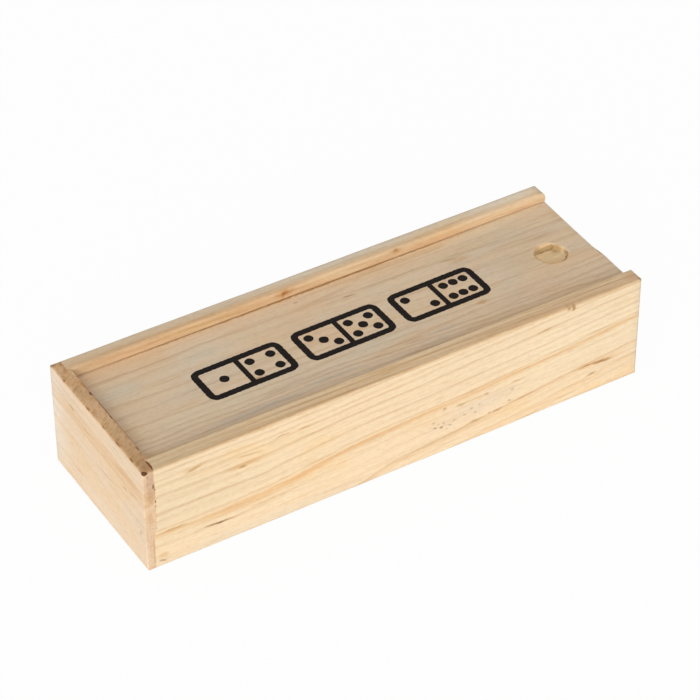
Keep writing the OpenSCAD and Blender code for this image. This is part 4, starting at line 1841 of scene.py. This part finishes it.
@dataclass
class ClosedEnd(Board):
    """The board that laps over the ends of both sides, with a tongue between them.

    Its outline in X and Z is carried along Y, and its tongue stops at the sides.
    """

    chip_push: Triple = (0.42, 0.38, -0.51)
    groove: float = 0.1

    def _chip(self, points: Array) -> Array:
        """How deep a place lies in the broken corner: one less the sum of its distances over the legs."""
        corner = np.array([-BOX.half_length, -BOX.half_width, BOX.height])
        along, across, depth = CHIP_LEGS
        return np.clip(1 - (np.abs(points - corner) / np.array([depth, along, across])).sum(axis=-1), 0, None)

    def grid(self) -> Array:
        """The outline at each station, cut back to the lap past the tongue, chipped at one top corner."""
        left = -BOX.half_length
        flat = outline(
            (
                Corner(left, 0, BOX.edge_radius),
                Corner(left, BOX.height, BOX.edge_radius, 6),
                Corner(BOX.inner_left, BOX.height, BOX.inner_radius, 3),
                Corner(BOX.inner_left, BOX.groove_top, 0.1, 2),
                Corner(BOX.shoulder, BOX.groove_top),
                Corner(BOX.shoulder, BOX.low_end_top),
                Corner(BOX.inner_left, BOX.low_end_top, 0.15, 2),
                Corner(BOX.inner_left, BOX.bottom_top),
                Corner(BOX.shoulder, BOX.bottom_top),
                Corner(BOX.shoulder, 0, 0.12, 2),
            ),
            1.2,
        )
        inner, wide = BOX.inner_half_width, BOX.half_width
        rebate = BOX.rebate_half_width
        doubled = (-inner, -inner, inner, inner, -rebate - 0.02, -rebate)
        close = (-wide + 0.7, -wide + 1.15, -wide + 1.4, -wide + 1.7, -wide + 2.1, wide - 1.4)
        ys = stations(-wide, wide, 1.2, (*doubled, *close), (-wide, wide))
        x, y, z = carried(ys, flat, along_x=False)
        order = np.arange(len(ys))[:, None]
        first = np.searchsorted(ys, -inner)
        last = np.searchsorted(ys, inner)
        lap = (order <= first) | (order > last)
        in_rebate = (z < BOX.bottom_top + 0.01) & (y > -rebate - 0.01)
        leaned = BOX.shoulder - BOX.joint(z) * (y < 0) * ~in_rebate
        x = np.where(lap, np.minimum(x, leaned), x)
        far = BOX.half_length - eased(BOX.half_width - np.abs(y), BOX.corner_radius)
        x = np.maximum(x, -far)
        groove = self.groove * lap * smooth(x, leaned - 0.2, leaned)
        y = y - np.sign(y) * groove * smooth(np.abs(y), wide - 0.6, wide)
        z = z - groove * smooth(z, BOX.height - 0.6, BOX.height)
        points = sanded(np.stack([x, y, z], axis=-1))
        return points + self._chip(points)[..., None] * np.array(self.chip_push)


@dataclass
class LowEnd(Board):
    """The low board under the open end, let into both sides: its outline in X and Z is carried along Y."""

    def grid(self) -> Array:
        """The outline at each station."""
        right = BOX.half_length
        flat = outline(
            (
                Corner(right, 0, 0.45, 4),
                Corner(right, BOX.low_end_top, 0.35, 4),
                Corner(BOX.inner_right, BOX.low_end_top, BOX.inner_radius, 3),
                Corner(BOX.inner_right, BOX.bottom_top),
                Corner(BOX.rebate_right, BOX.bottom_top),
                Corner(BOX.rebate_right, 0, 0.12, 2),
            )
        )
        wide = BOX.housing_half_width
        ys = stations(-wide, wide, 1.6, (-wide + 0.1, wide - 0.1))
        x, y, z = carried(ys, flat, along_x=False)
        shy = 0.06 + 0.1 * (np.abs(y) > wide - 0.05)
        x = x - shy * smooth(x, right - 1.0, right)
        return sanded(np.stack([x, y, z], axis=-1))


@dataclass
class BottomPanel(Board):
    """The thin panel in the rebates: its outline in Y and Z is carried along X."""

    def grid(self) -> Array:
        """The outline at each station, a little short of the boards' underside."""
        wide = BOX.rebate_half_width
        flat = outline(
            (
                Corner(-wide, 0, 0.35, 3),
                Corner(-wide, BOX.bottom_top),
                Corner(wide, BOX.bottom_top),
                Corner(wide, 0, 0.35, 3),
            ),
            2.4,
        )
        xs = stations(BOX.shoulder, BOX.rebate_right, 2.4, (BOX.shoulder + 0.1, BOX.rebate_right - 0.1))
        return sanded(np.stack(carried(xs, flat), axis=-1), 0.12)


@dataclass
class SlidingLid(Board):
    """The thin lid with its round thumb notch and its slightly crooked sawn end.

    Its outline in Y and Z is carried along X on lines that bend round the notch.
    """

    edge: float = 0.2
    spacing: tuple[float, float] = (2.2, 1.7)
    under_points: int = 12
    ripple_depth: float = 0.07
    worn_end: tuple[float, float] = (0.16, 0.12)
    notch_depth: float = 1.4
    notch_rise: float = 0.88
    back_slope: float = 1.45
    side_slope: float = 1.7
    ring_radii: tuple[float, ...] = (
        *(0, 0.6, 1.2, 1.8, 2.4, 2.9, 3.4, 3.8, 4.1),
        *(4.32, 4.5, 4.62, 4.8, 5.05, 5.6, 6.6, 8.0),
    )
    ring_drops: tuple[float, ...] = (1, 1, 1, 1, 1, 1, 1, 0.99, 0.95, 0.82, 0.42, 0.16, 0.04, 0, 0, 0, 0)
    round_to: float = 5.05
    square_from: float = 8.0
    floor_reach: float = 5.6
    floor_fall: tuple[float, float] = (0.55, 0.835)
    side_faces: tuple[float, float] = (0.92, 0.39)
    end_places: tuple[float, ...] = (-22, -17, -7.4, -6.4, 4, 20, 22)
    end_cuts: tuple[float, ...] = (0.42, 0.4, 0.14, 0.75, 0.5, 0.05, 0.0)

    def surface(self, x: Array, y: Array) -> Array:
        """Height of the lid's face: its top less a shallow ripple.

        Args:
            x: place along the lid.
            y: place across it.

        Returns:
            The height in millimetres.
        """
        level = np.full(np.shape(x), BOX.lid_top)
        return BOX.lid_top - self.ripple_depth * ripple(np.stack([x, y * 1.6, level], axis=-1))

    def _lines(
        self, start: float, end: float, centre: float, spacing: float
    ) -> tuple[Array, Array]:
        """Grid lines over a length: even ones, and one pair for each ring of the notch.

        Args:
            start: first line.
            end: last line.
            centre: middle of the notch.
            spacing: step of the even lines.

        Returns:
            The lines, and the ring of each, the number of rings where it has none.
        """
        radii = np.array(self.ring_radii)
        numbers = np.arange(len(radii))
        ring_lines = np.concatenate([centre - radii[:0:-1], centre + radii])
        ring_of = np.concatenate([numbers[:0:-1], numbers])
        even = stations(start, end, spacing)
        keep = np.abs(even - centre) > radii[-1] + 0.5
        lines = np.concatenate([even[keep], ring_lines])
        rings = np.concatenate([np.full(keep.sum(), len(radii)), ring_of])
        order = np.argsort(lines, kind="stable")
        return lines[order], rings[order]

    def grid(self) -> Array:
        """The outline at each line, its top pressed down into the round notch.

        A point of the square rings round the notch moves to the circle of the
        same radius, less and less from the lip out to the last square.
        """
        top, bottom, half, edge = BOX.lid_top, BOX.low_end_top, BOX.lid_half_width, self.edge
        xs, x_ring = self._lines(BOX.lid_left, BOX.half_length, BOX.notch_x, self.spacing[0])
        tops, y_ring = self._lines(edge - half, half - edge, 0.0, self.spacing[1])
        low = np.linspace(half - edge, edge - half, self.under_points)
        upper = np.stack([tops, np.full_like(tops, top)], axis=-1)
        right = np.array([[half, top - edge], [half, bottom + edge]])
        under = np.stack([low, np.full_like(low, bottom)], axis=-1)
        left = np.array([[-half, bottom + edge], [-half, top - edge]])
        x, y, z = carried(xs, np.concatenate([upper, right, under, left]))
        ring = np.maximum(x_ring[:, None], y_ring[None, :])
        face = (slice(None), slice(len(tops)))
        x[face], y[face], z[face] = self._notched(x[face], y[face], ring)
        crooked = np.interp(y, self.end_places, self.end_cuts)
        x = x - crooked * smooth(x, 71.4, BOX.half_length)
        end = smooth(x, BOX.half_length - 0.9, BOX.half_length - 0.3) * (np.abs(x - x[-1]) < 0.02)
        above, below = self.worn_end
        z = z - above * end * (z > top - 0.12) + below * end * (z < bottom + 0.05)
        return np.stack([x, y, z], axis=-1)

    def _notched(
        self, x: Array, y: Array, ring: Array
    ) -> tuple[Array, Array, Array]:
        """Rounds the square rings of the lid's top and presses the notch into it.

        The notch deepens towards the back, less the slopes of its back and side.

        Args:
            x: place of each point along the lid.
            y: place of each point across it.
            ring: square ring of each point, the number of rings where it has none.

        Returns:
            The new X, Y and Z.
        """
        radii = np.append(np.array(self.ring_radii), 1e3)[ring]
        drops = np.append(np.array(self.ring_drops), 0.0)[ring]
        dx = x - BOX.notch_x
        across = np.maximum(np.hypot(dx, y), 1e-9)
        blend = np.where(ring < len(self.ring_radii), 1 - smooth(radii, self.round_to, self.square_from), 0.0)
        scale = 1 + blend * (np.minimum(radii, self.square_from) / across - 1)
        scale = np.where(ring == 0, 1.0, scale)
        x, y = BOX.notch_x + dx * scale, y * scale
        dx = x - BOX.notch_x
        leaned = -(dx * self.floor_fall[0] + y * self.floor_fall[1]) / self.floor_reach
        floor = 1 - self.notch_rise * (0.5 + 0.5 * np.clip(leaned, -1, 1))
        back = np.clip((NOTCH_RIM - 0.1 - y) / self.back_slope, 0, 1)
        inwards = NOTCH_RIM - 0.2 - self.side_faces[0] * dx - self.side_faces[1] * y
        deep = self.notch_depth * floor * back * smooth(inwards, 0, self.side_slope)
        return x, y, self.surface(x, y) - deep * drops


# --------------------------------------------------------------------------- print


PIPS: dict[int, tuple[tuple[float, float], ...]] = {
    1: ((0, 0),),
    2: ((-1, 1), (1, -1)),
    3: ((-1, 1), (0, 0), (1, -1)),
    4: ((-1, 1), (1, 1), (-1, -1), (1, -1)),
    5: ((-1, 1), (1, 1), (0, 0), (-1, -1), (1, -1)),
    6: ((-1, 1), (0, 1), (1, 1), (-1, -1), (0, -1), (1, -1)),
}


@dataclass
class InkPrint:
    """A row of three plain domino tiles printed on the lid, as a thin film of ink."""

    lid: SlidingLid
    finish: InkFinish
    tiles: tuple[tuple[int, int], ...] = ((1, 4), (3, 5), (2, 6))
    centre: tuple[float, float] = (-2.2, 0.2)
    turn: float = 0.7
    width: float = 26.4
    height: float = 13.2
    pitch: float = 29.8
    stroke: float = 1.9
    divider: float = 1.5
    corner: float = 2.6
    pip: float = 1.34
    pip_steps: tuple[float, float] = (3.1, 2.55)
    film: float = 0.035
    piece: bpy.types.Object | None = field(default=None, repr=False)

    def _loop(self, grow: float, count: int = 160) -> Array:
        """A rounded rectangle at even steps: a rectangle shrunk by the corner radius plus a circle's offset.

        Args:
            grow: distance outside the middle of the stroke.
            count: number of points.

        Returns:
            The points, one row each.
        """
        w, h = (self.width - self.stroke) / 2, (self.height - self.stroke) / 2
        r = self.corner - self.stroke / 2
        runs = np.array([2 * (h - r), r * math.pi / 2, 2 * (w - r), r * math.pi / 2] * 2)
        marks = np.concatenate([[0], np.cumsum(runs)])
        s = np.linspace(0, marks[-1], count, endpoint=False)
        leg = np.searchsorted(marks, s, side="right") - 1
        part = (s - marks[leg]) / runs[leg]
        corners = np.array([[w - r, h - r], [-(w - r), h - r], [-(w - r), -(h - r)], [w - r, -(h - r)]])
        curved = leg % 2 == 1
        turn = (leg // 2) * math.pi / 2 + np.where(curved, part, 0) * math.pi / 2
        here = corners[(leg // 2) % 4]
        before = corners[(leg // 2 - 1) % 4]
        base = np.where(curved[:, None], here, before + (here - before) * part[:, None])
        normal = np.stack([np.cos(turn), np.sin(turn)], axis=-1)
        rough = 0.05 * np.sin(s * 5.1 + grow * 9) + 0.035 * np.sin(s * 11.7 + grow * 5)
        return base + normal * (r + grow + rough[:, None])

    def _frame(self) -> Array:
        """The tile's border: two points outside and two inside, carried round the loop."""
        half = self.stroke / 2
        outer, inner = self._loop(half), self._loop(-half)
        rows = [(inner, -1.0), (inner, 1.0), (outer, 1.0), (outer, -1.0)]
        return np.stack([np.column_stack([xy, np.full(len(xy), level)]) for xy, level in rows], axis=1)

    def _bar(self) -> Array:
        """The tile's dividing line, a strip across it with wavy sides."""
        reach = (self.height - self.stroke) / 2 - self.stroke / 2 + 0.25
        y = np.linspace(-reach, reach, 30)
        right = self.divider / 2 + 0.05 * np.sin(y * 6.3)
        left = -self.divider / 2 + 0.05 * np.sin(y * 5.2 + 2)
        rows = [(left, -1.0), (left, 0.94), (right, 0.94), (right, -1.0)]
        return np.stack([np.stack([x, y, np.full_like(y, level)], axis=-1) for x, level in rows], axis=1)

    def _pip(self, x: float, y: float) -> Array:
        """One pip: a disc with a wavy rim, from its middle below round to its middle above.

        Args:
            x: place of its middle along the tile.
            y: place of its middle across it.

        Returns:
            Grid of points, one row for each turn.
        """
        turn = np.linspace(0, 2 * math.pi, 36, endpoint=False)
        rim = self.pip + 0.03 * np.sin(turn * 4 + x) + 0.02 * np.sin(turn * 9 + y)
        rows = []
        for share, level in ((0, -1), (1, -1), (1, 1), (0, 1)):
            u, v = x + rim * share * np.cos(turn), y + rim * share * np.sin(turn)
            rows.append(np.stack([u, v, np.full_like(turn, level)], axis=-1))
        return np.stack(rows, axis=1)

    def _tile(self, left: int, right: int) -> list[tuple[Array, bool]]:
        """The parts of one tile and whether each closes on itself.

        Args:
            left: pips on the left half.
            right: pips on the right half.

        Returns:
            Grids of points, each with its closing flag.
        """
        parts = [(self._frame(), True), (self._bar(), False)]
        half = (self.width / 2 - self.stroke + self.divider / 2) / 2
        along, across = self.pip_steps
        for count, middle in ((left, -half), (right, half)):
            parts += [(self._pip(middle + along * u, across * v), True) for u, v in PIPS[count]]
        return parts

    def build(self) -> None:
        """Makes the film: the tiles laid out in a row, turned a little, and laid on the lid's face."""
        points: list[Array] = []
        faces: list[list[int]] = []
        count = 0
        c, s = math.cos(math.radians(self.turn)), math.sin(math.radians(self.turn))
        for number, (left, right) in enumerate(self.tiles):
            middle = (number - (len(self.tiles) - 1) / 2) * self.pitch
            for grid, closed in self._tile(left, right):
                flat = grid.reshape(-1, 3)
                u, v = flat[:, 0] + middle, flat[:, 1]
                x = self.centre[0] + c * u - s * v
                y = self.centre[1] + s * u + c * v
                z = self.lid.surface(x, y) + self.film * flat[:, 2]
                points.append(np.column_stack([x, y, z]))
                faces += grid_faces(grid.shape[0], grid.shape[1], closed, count).tolist()
                if not closed:
                    columns, last = grid.shape[1], count + (grid.shape[0] - 1) * grid.shape[1]
                    faces += [list(range(count, count + columns))[::-1], list(range(last, last + columns))]
                count += len(flat)
        self.piece = mesh_object("lid_print", np.concatenate(points), faces)

    def dress(self, effects: PineEffects) -> None:
        """Gives the print its ink."""
        self.piece.data.materials.append(self.finish.material(effects))

    def place(self) -> None:
        """Ties the print to the lid."""
        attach(self.piece, self.lid.body)


# --------------------------------------------------------------------------- studio


def seen_directly(g: Graph) -> Socket:
    """Mask of the rays that come straight from the camera, from gloss or through glass."""
    path = g.node("LightPath").outputs
    seen = g.math("MAXIMUM", path["Is Camera Ray"], path["Is Glossy Ray"])
    return g.math("MAXIMUM", seen, path["Is Transmission Ray"])


@dataclass(frozen=True)
class Studio:
    """Pale floor, soft lamp, even surroundings and the camera."""

    camera_place: Triple = (-312.393, -512.394, 505.523)
    camera_turn: float = -31.3399
    camera_lift: float = 38.8308
    camera_roll: float = -0.2154
    lens: float = 151.44
    key_turn: float = -38.0
    key_lift: float = 18.0
    key_distance: float = 3.0
    key_size: float = 2.3
    key_level: float = 0.87
    around: float = 0.44
    floor_half: float = 3.0
    floor_level: float = -0.00005
    floor_colour: float = 0.8
    floor_shadow: float = 0.03

    def _direction(self, turn: float, lift: float) -> Vector:
        """Unit vector from the box towards a place at a turn from the front and a height, in degrees."""
        a, e = math.radians(turn), math.radians(lift)
        return Vector((math.sin(a) * math.cos(e), -math.cos(a) * math.cos(e), math.sin(e)))

    def camera(self) -> None:
        """Places the camera: looks back along its direction, then rolls."""
        back = self._direction(self.camera_turn, self.camera_lift)
        right = Vector((0, 0, 1)).cross(back).normalized()
        up = back.cross(right)
        c, s = math.cos(math.radians(self.camera_roll)), math.sin(math.radians(self.camera_roll))
        axes = (c * right + s * up, -s * right + c * up, back)
        data = bpy.data.cameras.new("camera")
        data.sensor_width, data.sensor_fit = 36.0, "HORIZONTAL"
        data.lens = self.lens
        data.clip_start, data.clip_end = 0.01, 50.0
        camera = put("camera", data)
        turned = Matrix([(axes[0][i], axes[1][i], axes[2][i]) for i in range(3)]).to_4x4()
        camera.matrix_world = Matrix.Translation(Vector(self.camera_place) * METRES) @ turned
        bpy.context.scene.camera = camera

    def lamp(self) -> None:
        """Hangs a large square lamp low at the front left, its power set from the level wanted at the box."""
        data = bpy.data.lights.new("soft_lamp", "AREA")
        data.shape, data.size = "SQUARE", self.key_size
        data.energy = self.key_level * (math.pi * self.key_distance) ** 2
        lamp = put("soft_lamp", data)
        towards = self._direction(self.key_turn, self.key_lift)
        lamp.location = towards * self.key_distance
        lamp.rotation_mode = "QUATERNION"
        lamp.rotation_quaternion = (-towards).to_track_quat("-Z", "Y")

    def surroundings(self) -> None:
        """Even light from all round, seen as white by the camera and in gloss."""
        world = bpy.data.worlds.new("studio")
        world.use_nodes = True
        g = Graph(world.node_tree)
        g.tree.nodes.clear()
        light = g.node("Background")
        g.feed(light.inputs["Color"], WHITE)
        g.feed(light.inputs["Strength"], g.span(seen_directly(g), 0.0, 1.0, self.around, 1.0, soft=False))
        g.feed(g.node("OutputWorld").inputs["Surface"], light.outputs[0])
        bpy.context.scene.world = world

    def floor(self) -> None:
        """A plain pale floor that stays white to the camera and keeps a faint shadow."""
        h = self.floor_half
        mesh = bpy.data.meshes.new("floor")
        mesh.from_pydata([(-h, -h, 0), (h, -h, 0), (h, h, 0), (-h, h, 0)], [], [(0, 1, 2, 3)])
        floor = put("floor", mesh)
        floor.location.z = self.floor_level
        made, g = new_material("pale_floor")
        matt = g.node("BsdfDiffuse")
        g.feed(matt.inputs["Color"], (self.floor_colour,) * 3)
        white = g.node("Emission")
        g.feed(white.inputs["Color"], WHITE)
        blend = g.node("MixShader")
        g.feed(blend.inputs[0], g.math("MULTIPLY", seen_directly(g), 1 - self.floor_shadow))
        g.feed(blend.inputs[1], matt.outputs[0])
        g.feed(blend.inputs[2], white.outputs[0])
        g.feed(g.node("OutputMaterial").inputs["Surface"], blend.outputs[0])
        mesh.materials.append(made)

    def build(self) -> None:
        """Sets up the whole studio."""
        bpy.context.scene.view_settings.view_transform = "Standard"
        self.camera()
        self.lamp()
        self.surroundings()
        self.floor()


# --------------------------------------------------------------------------- main


def main() -> None:
    """Builds the studio, the six boards and the print, and reports each piece."""
    logging.basicConfig(level=logging.INFO, format="%(name)s: %(message)s")
    Studio().build()
    effects = PineEffects()
    lid = SlidingLid("lid_board", "sliding_lid", "lid", "lid", LID_PINE)
    parts: list[Board | InkPrint] = [
        SideBoard("front_board", "front_side", "box", "side_boards", FRONT_PINE, side=Side.FRONT),
        SideBoard("back_board", "back_side", "box", "side_boards", BACK_PINE, side=Side.BACK),
        ClosedEnd("closed_end_board", "closed_end", "box", "end_boards", CLOSED_END_PINE),
        LowEnd("low_end_board", "low_end", "box", "end_boards", LOW_END_PINE),
        BottomPanel("bottom_board", "bottom_panel", "box", "bottom", BOTTOM_PINE),
        lid,
        InkPrint(lid, InkFinish()),
    ]
    for part in parts:
        part.build()
        part.dress(effects)
        part.place()
        LOG.info("%s: %d faces", part.piece.name, len(part.piece.data.polygons))


if __name__ == "__main__":
    main()
